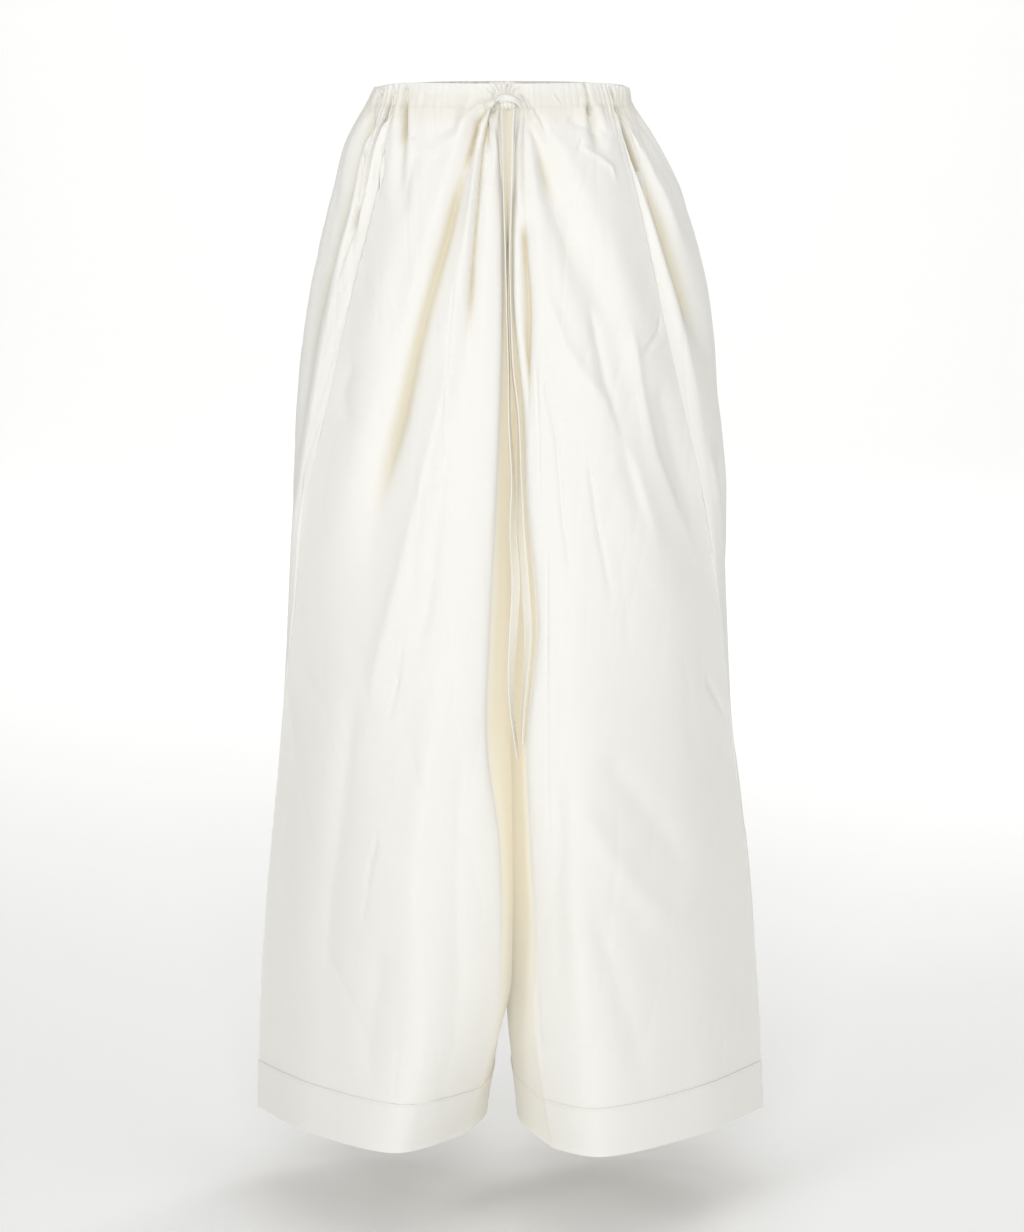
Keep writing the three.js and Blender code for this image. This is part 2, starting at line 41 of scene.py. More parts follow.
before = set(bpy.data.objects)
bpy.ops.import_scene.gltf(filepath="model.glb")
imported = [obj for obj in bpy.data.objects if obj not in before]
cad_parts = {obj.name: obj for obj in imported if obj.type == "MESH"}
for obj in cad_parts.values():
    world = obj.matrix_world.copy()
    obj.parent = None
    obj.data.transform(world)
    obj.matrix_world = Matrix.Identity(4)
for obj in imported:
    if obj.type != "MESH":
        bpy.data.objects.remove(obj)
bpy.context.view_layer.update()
MM = 0.001

# The shape of the cloth, one row for each level, as the part's source has it.
SECTION_COLUMNS = (
    "z", "outRight", "outLeft", "seamRight", "seamLeft", "foldRight", "foldLeft", "creaseRight", "creaseLeft",
    "innerRight", "innerLeft", "outY", "seamY", "foldY", "creaseY", "frontRise", "backX", "backY",
    "backFoldX", "backFoldY", "backRise", "bulge", "lean",
)
SECTION_ROWS = (
    (0, 127, 123, 102, 102, 8, 14, 52, 52, -3, 3, -5, -62, -97, -89, -98, 60, 84, 20, 94, 95, 3, 0),
    (-22, 134, 125, 106, 108, 8, 14, 54, 54, -3, 3, -5, -62, -98, -90, -98, 60, 85, 20, 95, 96, 4, 0),
    (-60, 155, 148, 117, 118, 3, 9, 56, 56, -3, 3, 0, -67, -104, -100, -92, 66, 98, 20, 105, 106, 6, 0),
    (-110, 168, 176, 125, 131, -0.5, 7.5, 58, 58, -3, 3, 5, -73, -112, -111, -78, 75, 113, 18, 117, 117, 8, 0),
    (-160, 180, 192, 138, 142, -0.5, 7.5, 60, 60, -3, 3, 8, -75, -118, -119, -58, 84, 125, 14, 126, 122, 10, 0),
    (-220, 193, 204, 153, 155, 0, 9, 60, 62, -3, 3, 10, -76, -124, -127, -30, 92, 131, 12, 127, 104, 13, 0),
    (-300, 204, 216, 171, 173, 2, 18, 58, 64, -2, 4, 12, -72, -130, -135, 16, 98, 129, 14, 122, 16, 16, 0),
    (-400, 213, 223, 194, 197, 6, 22, 56, 66, -1, 5, 15, -60, -136, -142, 16, 102, 127, 16, 118, 16, 18, 0),
    (-520, 216, 223, 208, 216, 12, 32, 58, 68, -1, 5, 18, -42, -142, -150, 16, 106, 128, 17, 117, 16, 19, 0),
    (-640, 223, 229, 224, 230, 15, 22, 72, 70, -1, 5, 24, -22, -146, -157, 16, 110, 131, 18, 118, 16, 20, 0),
    (-740, 231, 243, 235, 242, 3, 25, 85, 74, -1, 5, 32, -12, -144, -164, 16, 114, 134, 19, 119, 16, 20, 0),
    (-840, 241, 253, 245, 254, 1, 30, 86, 78, -1, 5, 40, -5, -140, -171, 16, 118, 138, 20, 120, 16, 20, 2),
    (-940, 248, 259, 252, 263, 6, 28, 84, 86, 2, 2, 46, 0, -131, -173, 16, 124, 143, 24, 116, 16, 20, 8),
    (-1052, 250, 263, 255, 268, 36, 46, 106, 94, 18, 13, 50, 5, -117, -170, 16, 130, 150, 32, 98, 16, 20, 22),
)
SECTIONS = {name: np.array([row[i] for row in SECTION_ROWS], float) for i, name in enumerate(SECTION_COLUMNS)}

# Heights, and places that the sections leave out. The valley between the legs sways to one side from
# SWAY_START down to SWAY_END.
CASING_TOP = 2.0
CASING_HEIGHT = 22.0
PANEL_TOP = 22.06
LENGTH = 1054.0
CENTRE_X = 3.0
CROTCH_Z = -300.0
INSEAM_Y = 16.0
INNER_SWAY = 8.0
SWAY_START = -240.0
SWAY_END = -900.0

# The legs: how far the waist dips at the side, and how far the front of the hem rises.
SIDES = (
    {"name": "right", "cap": "Right", "sign": -1, "dip": 7.0, "hem_lift": 7.0},
    {"name": "left", "cap": "Left", "sign": 1, "dip": 8.0, "hem_lift": 3.0},
)
# The waist seam falls away towards the wearer's sides and back.
DIP_FULL_AT = 124
DIP_POWER = 8
BACK_DROP = 5.0
BACK_DROP_REACH = 70
# The front of each hem rises between these distances below the waist.
HEM_LIFT_FROM = 800
HEM_LIFT_OVER = 200
HEM_FRONT_Y = 165
# The edge of the valley between the legs: how far its inner wall is tucked behind it, and its turn.
EDGE_TUCK = 9
EDGE_TURN = 5.5
EDGE_FORWARD = 2.5
# Panels stop this far from the side seam.
SEAM_GAP = 0.15

# Broad folds on the front along a straight line from (x0, z0) to (x1, z1): width and depth at each end, and
# how much painted shade darkens it. A negative depth is a ridge.
FRONT_FOLDS = {
    "right": (
        (-22, -20, -132, -450, 7, 22, 8, 5, 0.75),
        (-12, -28, -14, -80, 4, 4, 4, 4, 1),
        (-18, -30, -36, -260, 5, 9, 4, 4, 0.8),
        (-98, -22, -103, -110, 3.5, 7, 6, 3, 0.9),
        (-10, -18, -56, -56, 6, 10, -3, -2, 0),
        (-96, -180, -150, -560, 14, 30, 3, 3, 0),
    ),
    "left": (
        (20, -24, 22, -110, 4, 6, 4, 3, 0.6),
        (20, -130, 23, -310, 8, 9, 4, 5, 1),
        (30, -36, 92, -200, 9, 20, 6, 5, 0.1),
        (88, -190, 190, -470, 18, 30, 5, 5, 0.2),
        (84, -20, 94, -64, 4, 7, 7, 3, 0.6),
        (14, -18, 48, -52, 4, 7, -2, -2, 0),
    ),
}

# Broad folds behind the side seam, placed by their share of the way round: 0 at the side seam, 6 at the
# centre back.
BACK_FOLDS = {
    "left": (
        (0.35, -22, 1.5, -290, 0.2, 0.34, 10.5, 9),
        (2.4, -30, 2.2, -420, 0.24, 0.48, 7, 6.5),
        (4.2, -40, 3.6, -560, 0.24, 0.48, 7, 5.5),
        (0.8, -24, 1.1, -170, 0.08, 0.12, 7.5, 3.5),
        (1.7, -24, 2, -210, 0.08, 0.12, 6.8, 2.9),
        (3.1, -24, 3, -240, 0.08, 0.12, 6.2, 2.9),
        (4.8, -24, 4.5, -260, 0.1, 0.13, 6.2, 3.5),
        (5.4, -30, 5.2, -420, 0.12, 0.22, 6.8, 5.8),
        (1.4, -380, 2.4, -760, 0.16, 0.24, 7.5, 5.8),
        (3.2, -480, 3.5, -900, 0.2, 0.29, 6.8, 6.4),
        (4.4, -620, 4.7, -1010, 0.16, 0.24, 6.2, 5.8),
        (1.2, -760, 1.5, -1010, 0.16, 0.22, 5.5, 5.2),
    ),
    "right": (
        (1.3, -22, 1.7, -420, 0.2, 0.34, 9, 8.5),
        (2.9, -30, 2.6, -480, 0.24, 0.48, 7, 6.5),
        (4.6, -40, 4, -620, 0.24, 0.48, 7, 5.5),
        (0.5, -24, 0.9, -180, 0.08, 0.12, 6.8, 3.5),
        (2.1, -24, 2.1, -230, 0.08, 0.12, 6.5, 2.9),
        (3.6, -24, 3.4, -250, 0.09, 0.12, 6.2, 2.9),
        (5.2, -24, 5, -280, 0.1, 0.14, 6.2, 4),
        (0.9, -420, 1.9, -820, 0.16, 0.24, 7.5, 5.8),
        (3.6, -520, 3.3, -940, 0.2, 0.29, 6.8, 6.4),
        (4.9, -640, 4.9, -1010, 0.16, 0.24, 6.2, 5.8),
        (2.4, -820, 2.5, -1020, 0.16, 0.22, 5.5, 5.2),
    ),
}

# Creases seen from the front: half width at each end, depth (a ridge if negative), steepness (above 0 the
# side towards +X is the steep one), and the line that it follows as (x, z).
CREASES = (
    # Pleats that the knot draws in
    (0.9, 0.8, 1.5, 0, ((-12, 1.5), (-9, -3), (-5, -9))),
    (0.9, 0.8, 1.8, 0, ((-7.5, 1.5), (-6, -3), (-3, -9))),
    (1, 0.9, 1.9, 0, ((-2.5, 1.5), (-2, -3), (-1, -9))),
    (1.4, 1.5, 2.9, 0, ((4, 1.5), (3, -3), (2, -10))),
    (0.9, 0.8, 1.8, 0, ((9, 2), (7, -2), (4.5, -8))),
    (0.9, 0.8, 1.3, 0, ((15, -1), (11, -4), (8, -9))),
    (1, 0.9, 1.5, 0, ((-18, -3), (-12, -6), (-7, -10))),
    (1.5, 1.6, 1.8, 0.3, ((-5, -9), (-14, -12.5), (-20, -14.5), (-27, -16.5), (-31, -21), (-37, -27))),
    (3.2, 5.5, -3.4, 0, ((-7, -14), (-15, -17), (-23, -20), (-30, -26), (-38, -32), (-48, -43))),
    (1.6, 2.8, 3.2, -0.4, ((-5, -19), (-11, -22), (-17, -24.5), (-23, -30), (-27, -34), (-32, -57),
        (-40, -84))),
    (2.2, 3.6, -1.8, 0, ((-20, -28), (-26, -50), (-28, -73), (-32, -110), (-39, -160))),
    (1.4, 3.6, 3.8, 0, ((-9, -23), (-16, -38), (-20, -56), (-22, -73), (-26, -118), (-30, -163),
        (-34, -231), (-38, -270))),
    (1.4, 2.2, 3.4, 0, ((-7, -21), (-13, -34), (-15.5, -46), (-15.5, -56), (-14, -66))),
    (1.4, 1.8, 2.4, 0, ((14, -10), (18, -11.5), (23, -12.5))),
    (1.2, 1.4, -1.7, 0.2, ((16, -9), (19, -10.5), (25, -20), (33, -33), (40, -47), (47, -59))),
    (2.6, 8, 2.6, -0.2, ((19, -15), (25, -32), (32, -52), (40, -80), (52, -120))),
    (1, 1.6, 1.8, 0.3, ((17.5, -20), (18.5, -50), (19, -90), (19, -140))),
    (1, 1.3, 2.3, 0, ((-4, -20), (-3.5, -34), (-2, -60), (-1, -110))),
    (0.9, 1.1, 2, 0, ((-7.5, -21), (-9.5, -36), (-10, -48))),
    (1, 1.3, 2.3, 0, ((5.5, -20), (8, -38), (9.5, -70), (9, -120))),
    (0.9, 1, -0.7, 0, ((38, -32), (48, -43))),
    (1, 1.2, -0.9, 0, ((47, -9), (55, -20))),
    # Gathers and pleats at the wearer's right of the waist
    (1.8, 3, 4, -0.45, ((-97, 1), (-98, -8), (-99, -23), (-99, -34), (-100, -46), (-101, -64))),
    (0.9, 1.2, 2.2, 0, ((-94, -3), (-94, -10), (-96, -26))),
    (1.3, 2.4, 3.8, 0.4, ((-105, -2), (-108, -14), (-109, -24), (-114, -33), (-124, -45))),
    (1.1, 1.5, 3.2, 0, ((-113, 0), (-116, -15), (-119, -28))),
    (1.3, 2.4, 3.6, 0, ((-120, 0), (-121, -14), (-123, -24), (-128, -40), (-136, -58))),
    (1, 1.2, 2.8, 0, ((-124, -3), (-123, -10), (-122, -18))),
    (1.3, 2.6, 3.4, 0.3, ((-131, -22), (-134, -34), (-138, -48), (-144, -66))),
    (1.6, 2.6, 3.8, -0.3, ((-136, -66), (-140, -84), (-143, -104), (-146, -130), (-149, -165))),
    (1.2, 1.5, 1.8, 0, ((-118, -56), (-117.5, -77), (-119, -90), (-122.5, -99), (-123, -114))),
    (0.8, 0.8, 1.2, 0, ((-138, -89.5), (-124, -89.5))),
    (5, 6, 1.7, 0, ((-86, -64), (-94, -96), (-101, -132))),
    (1.5, 1.8, 0.9, 0, ((-96, -48), (-84, -51))),
    (1.5, 1.8, 0.8, 0, ((-80, -48), (-68, -61))),
    (2, 2.4, 0.6, 0, ((-68, -69), (-57, -74))),
    (4, 4, 1.1, 0, ((-82, -11), (-58, -14), (-27, -14.5))),
    # Gathers and pleats at the wearer's left of the waist
    (1.1, 1.7, 3.4, 0.4, ((79, 4), (82, -8), (85, -21), (87, -34))),
    (2.6, 5, 1.6, 0, ((86, -30), (95, -40), (105, -54))),
    (1.1, 1.3, 2.4, 0, ((105, 1), (108, -16), (111, -31))),
    (1.2, 2.4, 3.6, 0, ((112, 1), (114, -11), (117, -24), (124, -40), (134, -56), (138, -68))),
    (2, 8, 4.4, -0.45, ((110, -8), (112, -21), (118, -48), (126, -73), (134, -92), (144, -116), (153, -140),
        (162, -167), (170, -191), (180, -215), (190, -250))),
    (1.6, 3.2, 2.8, 0.2, ((130, -34), (142, -61), (150, -81), (155, -104))),
    (1, 1.2, 2.6, 0, ((103, -2), (106, -10), (109, -16))),
    (1.1, 1.2, 1, 0, ((76, -52), (71, -63))),
    (1.6, 2.2, -1.3, 0, ((75, -58), (92, -68), (104, -78), (111, -96))),
    (3.5, 5, 1.4, 0, ((62, -31), (83, -42), (103, -54))),
    (2, 2.2, 2, 0, ((155, -224), (151, -240), (141, -253), (133, -264))),
    # Long folds down the wearer's right leg
    (4.6, 11, 3.2, 0.4, ((-40, -84), (-47, -106), (-52, -131), (-59, -157), (-72, -200), (-84, -245),
        (-100, -320), (-118, -380), (-139, -450))),
    (0.9, 1, 0.8, 0, ((-48, -190), (-53, -245), (-56, -304), (-58, -345))),
    (7, 11, -2.6, -0.2, ((-50, -250), (-58, -290), (-72, -351), (-97, -455), (-128, -577), (-136, -660))),
    (2.4, 2.8, -1.1, 0, ((-79, -380), (-83, -460), (-82, -535))),
    (6, 8, 2, 0.3, ((-56, -340), (-63, -400), (-69, -470), (-90, -580))),
    (1.1, 1.4, 1, 0, ((-99, -540), (-101, -557), (-106, -590), (-117, -628))),
    (1.4, 1.6, 1.1, 0, ((-124, -728), (-131, -760), (-138, -795))),
    (1.3, 1.6, 0.8, 0, ((-133, -788), (-142, -818))),
    (6, 7, 1.4, 0, ((-148, -268), (-159, -302), (-149, -340))),
    (11, 18, -2.4, 0, ((-64, -570), (-73, -642), (-89, -772), (-83, -900), (-84, -960), (-93, -1020))),
    (9, 12, 1.8, 0, ((-150, -600), (-160, -700), (-176, -820), (-182, -940))),
    (8, 14, 1.6, 0, ((-40, -640), (-46, -760), (-44, -880), (-52, -1000))),
    (10, 14, 1.5, 0, ((-120, -840), (-132, -920), (-138, -1010))),
    # Long folds down the wearer's left leg
    (3, 5, 3.4, 0.4, ((19, -128), (21, -160), (24, -190), (25, -215), (23, -245), (19, -290), (18, -318))),
    (6, 12, 2.4, -0.2, ((30, -61), (40, -99), (50, -123), (64, -162), (80, -204))),
    (5, 8, -1.9, 0, ((41, -195), (59, -246), (75, -273), (99, -300), (114, -337), (130, -370), (145, -419),
        (160, -480))),
    (5, 9, 2.6, 0, ((84, -210), (99, -285), (117, -343), (130, -392), (148, -450))),
    (6, 9, -2.2, 0.3, ((124, -230), (137, -300), (150, -355), (178, -428), (198, -482))),
    (8, 11, 2.2, 0, ((152, -290), (170, -360), (192, -430))),
    (1.4, 2.2, 1.6, 0.4, ((82, -362), (85, -376), (93, -428), (103, -478), (109, -505))),
    (1.1, 1.3, 0.9, 0, ((31, -266), (34, -337), (35, -410))),
    (1.6, 2.6, 1.4, 0, ((38, -276), (52, -343), (57, -411), (62, -444), (65, -490))),
    (1.3, 1.8, 0.9, 0, ((42, -440), (42, -560), (42, -667), (45, -765))),
    (1.4, 1.8, 1.3, 0, ((202, -590), (215, -615), (225, -636))),
    (12, 17, -2.2, 0, ((74, -690), (98, -740), (135, -790), (192, -860))),
    (11, 15, 1.8, 0, ((100, -650), (150, -720), (198, -800))),
    (10, 14, 1.6, 0, ((88, -800), (110, -866), (132, -940), (140, -1010))),
    (9, 14, -1.8, 0, ((66, -680), (70, -809), (77, -922), (90, -1010))),
    (8, 12, 1.5, 0, ((52, -560), (54, -680), (52, -800), (58, -940))),
)

# Columns of fine cloth between one control point of a section and the next.
FRONT_COLUMNS = (8, 10, 18, 54, 44, 46)
BACK_COLUMNS = (26, 30, 26, 24, 24, 12)
# The gap between rows of fine cloth, near the waist and down the leg.
FRONT_LEVELS = (2.3, 5.4)
BACK_LEVELS = (3.2, 7.0)


def length_setting(name, description, default):
    return bpy.props.FloatProperty(name=name, description=description, default=default, subtype="DISTANCE",
                                   unit="LENGTH")


def colour_setting(name, description, default):
    return bpy.props.FloatVectorProperty(name=name, description=description, default=default, size=3,
                                         subtype="COLOR", min=0.0, max=1.0)


class TrouserSizes(bpy.types.PropertyGroup):
    """Sizes and colours of the trousers."""

    cloth_thickness: length_setting("Cloth thickness", "Thickness of one layer of the cloth", 0.0009)
    hem_depth: length_setting("Hem depth", "Height of the hem band", 0.050)
    stitch_pitch: length_setting("Stitch pitch", "Distance from one stitch to the next", 0.0033)
    tie_width: length_setting("Tie width", "Width of the drawstring's flat tape", 0.009)
    tie_thickness: length_setting("Tie thickness", "Thickness of the drawstring's tape", 0.0012)
    cloth_colour: colour_setting("Cloth colour", "Colour of the ivory cloth", (0.875, 0.865, 0.825))
    # Painted shade colour that the cloth is mixed towards deep in its folds and between the legs.
    painted_fold_shade: colour_setting("Fold colour", "Colour of the cloth deep in its folds", (0.70, 0.64, 0.485))
    thread_colour: colour_setting("Thread colour", "Colour of the sewing thread", (0.86, 0.83, 0.74))


def sizes():
    return bpy.context.scene.trouser_sizes


# Shape of the cloth


def clamp01(value):
    return np.clip(value, 0.0, 1.0)


def mix(a, b, share):
    return a + (b - a) * share


def ease(value):
    v = clamp01(value)
    return v * v * (3 - 2 * v)


def size(column, z):
    """A section measure at levels z, smooth from row to row, in millimetres."""
    levels, values = SECTIONS["z"], SECTIONS[column]
    z = np.asarray(z, float)
    last = len(levels) - 1
    i = np.clip(np.searchsorted(-levels, -z, side="left") - 1, 0, last - 1)
    before, after = np.maximum(np.arange(last + 1) - 1, 0), np.minimum(np.arange(last + 1) + 1, last)
    slope = (values[after] - values[before]) / (levels[after] - levels[before])
    span = levels[i + 1] - levels[i]
    s = clamp01((z - levels[i]) / span)
    rise = values[i + 1] - values[i]
    bend0 = slope[i] * span - rise
    bend1 = rise - slope[i + 1] * span
    return values[i] + rise * s + s * (1 - s) * (bend0 * (1 - s) + bend1 * s)


def sway(z):
    return INNER_SWAY * ease((SWAY_START - z) / 60) * (1 - ease((SWAY_END - z) / 70))


def run_in(column, z):
    """How far in the front or back runs: to the rise seam above the crotch, to the inseam below it."""
    return np.where(z > CROTCH_Z, size(column, z), INSEAM_Y)


def inner_x(side, z):
    leg = side["sign"] * size("inner" + side["cap"], z)
    return np.where(z > CROTCH_Z, CENTRE_X + side["sign"] * 0.2, leg)


def stack(points):
    """Control points (x, y), each an array over levels, as one array of levels by points by 2."""
    return np.stack([np.stack([np.broadcast_to(x, y.shape), y], -1) for x, y in points], 1)


def front_points(side, z):
    sign, cap = side["sign"], side["cap"]
    deep = run_in("frontRise", z)
    fold_x = sign * size("fold" + cap, z)
    fold_y = size("foldY", z) - sign * size("lean", z)
    tuck = np.minimum(EDGE_TUCK, 0.3 * (deep - fold_y))
    seam_x = inner_x(side, z)
    crease_x, crease_y = sign * size("crease" + cap, z), size("creaseY", z)
    end_x, end_y = sign * size("seam" + cap, z), size("seamY", z)
    bulge = size("bulge", z)
    wall_y = mix(deep, fold_y + tuck, 0.45)
    fan = 1.5 * (1 - ease((deep - fold_y) / 40))
    share = np.where(z > CROTCH_Z, 0.4, 0.15)
    return stack([
        (seam_x, deep),
        (mix(seam_x, fold_x, share) + sway(z), wall_y),
        (fold_x, fold_y + tuck),
        (fold_x + sign * (EDGE_TURN + fan), fold_y - EDGE_FORWARD),
        (crease_x, crease_y),
        (mix(crease_x, end_x, 0.5) + sign * bulge * 0.7, mix(crease_y, end_y, 0.5) - bulge * 0.7),
        (end_x, end_y),
    ])


def back_points(side, z):
    sign, cap = side["sign"], side["cap"]
    start_x, start_y = sign * size("seam" + cap, z), size("seamY", z)
    out_x, out_y = sign * size("out" + cap, z), size("outY", z)
    back_x, back_y = sign * size("backX", z), size("backY", z)
    deep = run_in("backRise", z)
    bulge = 10 + size("bulge", z)
    return stack([
        (start_x, start_y),
        (mix(start_x, out_x, 0.45), mix(start_y, out_y, 0.14)),
        (out_x, out_y),
        (mix(out_x, back_x, 0.42) + sign * bulge * 0.7, mix(out_y, back_y, 0.42) + bulge * 0.7),
        (back_x, back_y),
        (sign * size("backFoldX", z), size("backFoldY", z)),
        (inner_x(side, z), deep),
    ])


def spline(points, t):
    """Centripetal curves through points (levels by points by axes), at every t: levels by t by axes."""
    count = points.shape[1]
    before, after = 2 * points[:, :1] - points[:, 1:2], 2 * points[:, -1:] - points[:, -2:-1]
    ends = np.concatenate([before, points, after], 1)
    t = np.asarray(t, float)
    i = np.clip(np.floor(t).astype(int), 0, count - 2)
    w = (t - i)[None, :, None]
    p0, p1, p2, p3 = (ends[:, i + k] for k in range(4))

    def gap(a, b):
        return np.sum((a - b) ** 2, -1, keepdims=True) ** 0.25

    d0, d1, d2 = gap(p0, p1), gap(p1, p2), gap(p2, p3)
    d1 = np.where(d1 < 1e-4, 1.0, d1)
    d0 = np.where(d0 < 1e-4, d1, d0)
    d2 = np.where(d2 < 1e-4, d1, d2)
    t1 = ((p1 - p0) / d0 - (p2 - p0) / (d0 + d1) + (p2 - p1) / d1) * d1
    t2 = ((p2 - p1) / d1 - (p3 - p1) / (d1 + d2) + (p3 - p2) / d2) * d1
    c2 = -3 * p1 + 3 * p2 - 2 * t1 - t2
    c3 = 2 * p1 - 2 * p2 + t1 + t2
    return p1 + t1 * w + c2 * w * w + c3 * w ** 3


def plain(panel, side, t, z):
    """The cloth before its folds: levels by places by 3, in millimetres."""
    points = front_points(side, z) if panel == "front" else back_points(side, z)
    flat = spline(points, np.clip(t, 0, 6))
    return np.concatenate([flat, np.broadcast_to(z[:, None, None], flat.shape[:2] + (1,))], -1)


def unit(v):
    return v / np.maximum(np.linalg.norm(v, axis=-1, keepdims=True), 1e-9)


def outward(panel, side, t, z):
    along = plain(panel, side, np.minimum(t + 0.04, 6), z) - plain(panel, side, np.maximum(t - 0.04, 0), z)
    down = plain(panel, side, t, z - 4) - plain(panel, side, t, z + 4)
    return unit(np.cross(along, down) * -side["sign"])


# A fold starts and ends this far beyond its line, as a share of the line.
FOLD_RUN_IN = 0.1
FOLD_RUN_OUT = 0.25


def fold_depth(fold, at, z):
    """How deep one fold is at places at (x or t) and levels z."""
    x0, z0, x1, z1, width0, width1, depth0, depth1 = fold
    s = (z - z0) / (z1 - z0)
    fade = ease((s + FOLD_RUN_IN) / 0.16) * ease((1 + FOLD_RUN_OUT - s) / 0.55)
    held = clamp01(s)
    q = np.abs(at - mix(x0, x1, s)) / mix(width0, width1, held)
    trough = np.exp(-q ** 1.9) - 0.3 * (np.exp(-((q - 1.7) ** 2)) + np.exp(-((q + 1.7) ** 2)))
    return fade * mix(depth0, depth1, held) * trough


def crease_depth(width0, width1, depth, steep, line, x, z):
    """How deep one crease is at (x, z): as wide as at its line's nearest point, fading at its ends."""
    steps = np.linalg.norm(np.diff(line, axis=0), axis=-1)
    total = steps.sum()
    nearest = np.full(x.shape, 1e9)
    share, across = np.zeros(x.shape), np.zeros(x.shape)
    done = 0.0
    for (x0, z0), (x1, z1), step in zip(line[:-1], line[1:], steps):
        s = clamp01(((x - x0) * (x1 - x0) + (z - z0) * (z1 - z0)) / step ** 2)
        off_x, off_z = x - mix(x0, x1, s), z - mix(z0, z1, s)
        far = np.hypot(off_x, off_z)
        closer = far < nearest
        nearest = np.where(closer, far, nearest)
        share = np.where(closer, (done + s * step) / total, share)
        across = np.where(closer, off_x * (z0 - z1) + off_z * (x1 - x0), across)
        done += step
    width = 1.1 * mix(width0, width1, share) * (1 - steep * np.sign(across))
    fade = ease(share / 0.14 + 0.25) * ease((1 - share) / 0.34)
    return 1.6 * depth * fade * np.exp(-(nearest / width) ** 1.6)


def creases(x, z):
    """All the creases at places (x, z), each worked out only where it reaches."""
    total = np.zeros(x.shape)
    for width0, width1, depth, steep, line in CREASES:
        line = np.array(line, float)
        reach = 3.2 * max(width0, width1)
        (left, low), (right, high) = line.min(0) - reach, line.max(0) + reach
        near = (x > left) & (x < right) & (z > low) & (z < high)
        total[near] += crease_depth(width0, width1, depth, steep, line, x[near], z[near])
    return total


# Gathers below the casing: how high they are, and how far down they run.
GATHERS = {"centre": (0.3, 20), "side": (1.8, 60), "back": (2.8, 120)}


def gathers(panel, waist_arc, t, z):
    """Uneven gathers that hang from the casing, by the distance along the waist seam."""
    drop = np.maximum(0, -CASING_HEIGHT - z)[:, None]
    turn = waist_arc / 8.2 + 0.45 * np.sin(waist_arc / 17.0) + 0.3 * np.sin(waist_arc / 6.1 + 2)
    size_of = 0.75 + 0.25 * np.sin(waist_arc / 11.0 + 1)
    tight = (1.6 * np.abs(np.sin(np.pi * turn)) ** 0.7 - 1.0) * size_of
    loose = (1.5 * np.abs(np.sin(0.5 * np.pi * turn + 0.4)) ** 0.8 - 1.0) * size_of
    shape = mix(tight[None], loose[None], ease(drop / 45))
    if panel == "back":
        height, reach = GATHERS["back"]
        return shape * height * np.exp(-drop / reach)
    height, reach = GATHERS["centre"]
    centre = height * np.exp(-drop / reach)
    height, reach = GATHERS["side"]
    side = height * ease((t - 5.5) / 0.45)[None] * np.exp(-drop / reach)
    return shape * (centre + side)


# Many shallow creases: seed, how many, spread of their lean, and the ranges of length, width and depth.
CRUMPLES = {
    "front": (11, 90, 0.28, (22, 75), (2.2, 6.0), (0.2, 0.7)),
    "back": (23, 110, 0.28, (22, 75), (2.2, 6.0), (0.3, 0.9)),
    "streaks": (37, 70, 0.12, (30, 95), (1.1, 2.2), (0.14, 0.4)),
}


def crumple(kind, side, x, z):
    """Many shallow creases, set out from a fixed seed."""
    seed, count, spread, lengths, widths, depths = CRUMPLES[kind]
    rng = np.random.default_rng(seed + (side["sign"] > 0))
    total = np.zeros_like(x)
    low, high = x.min(), x.max()
    for _ in range(count):
        cx, cz = rng.uniform(low, high), -rng.uniform(30, 1000)
        lean = rng.normal(0, spread) + 0.10 * side["sign"]
        long, wide, deep = rng.uniform(*lengths), rng.uniform(*widths), rng.uniform(*depths)
        dx, dz = x - cx, z[:, None] - cz
        along = dz * math.cos(lean) + dx * math.sin(lean)
        across = dx * math.cos(lean) - dz * math.sin(lean) + 0.0025 * along ** 2 * rng.uniform(-1, 1) / 2
        total += deep * np.exp(-np.abs(across / wide) ** 1.3) * np.exp(-((along / long) ** 2))
    return total


def seam_pull(t, z, at, reach):
    """A shallow groove at a seam, uneven along its length, as stitching pulls cloth in."""
    wave = 0.6 + 0.4 * np.sin(z / 3.1 + 1.5 * np.sin(z / 23.0))
    return 0.7 * wave[:, None] * np.exp(-((np.abs(t - at) / reach) ** 2))[None]


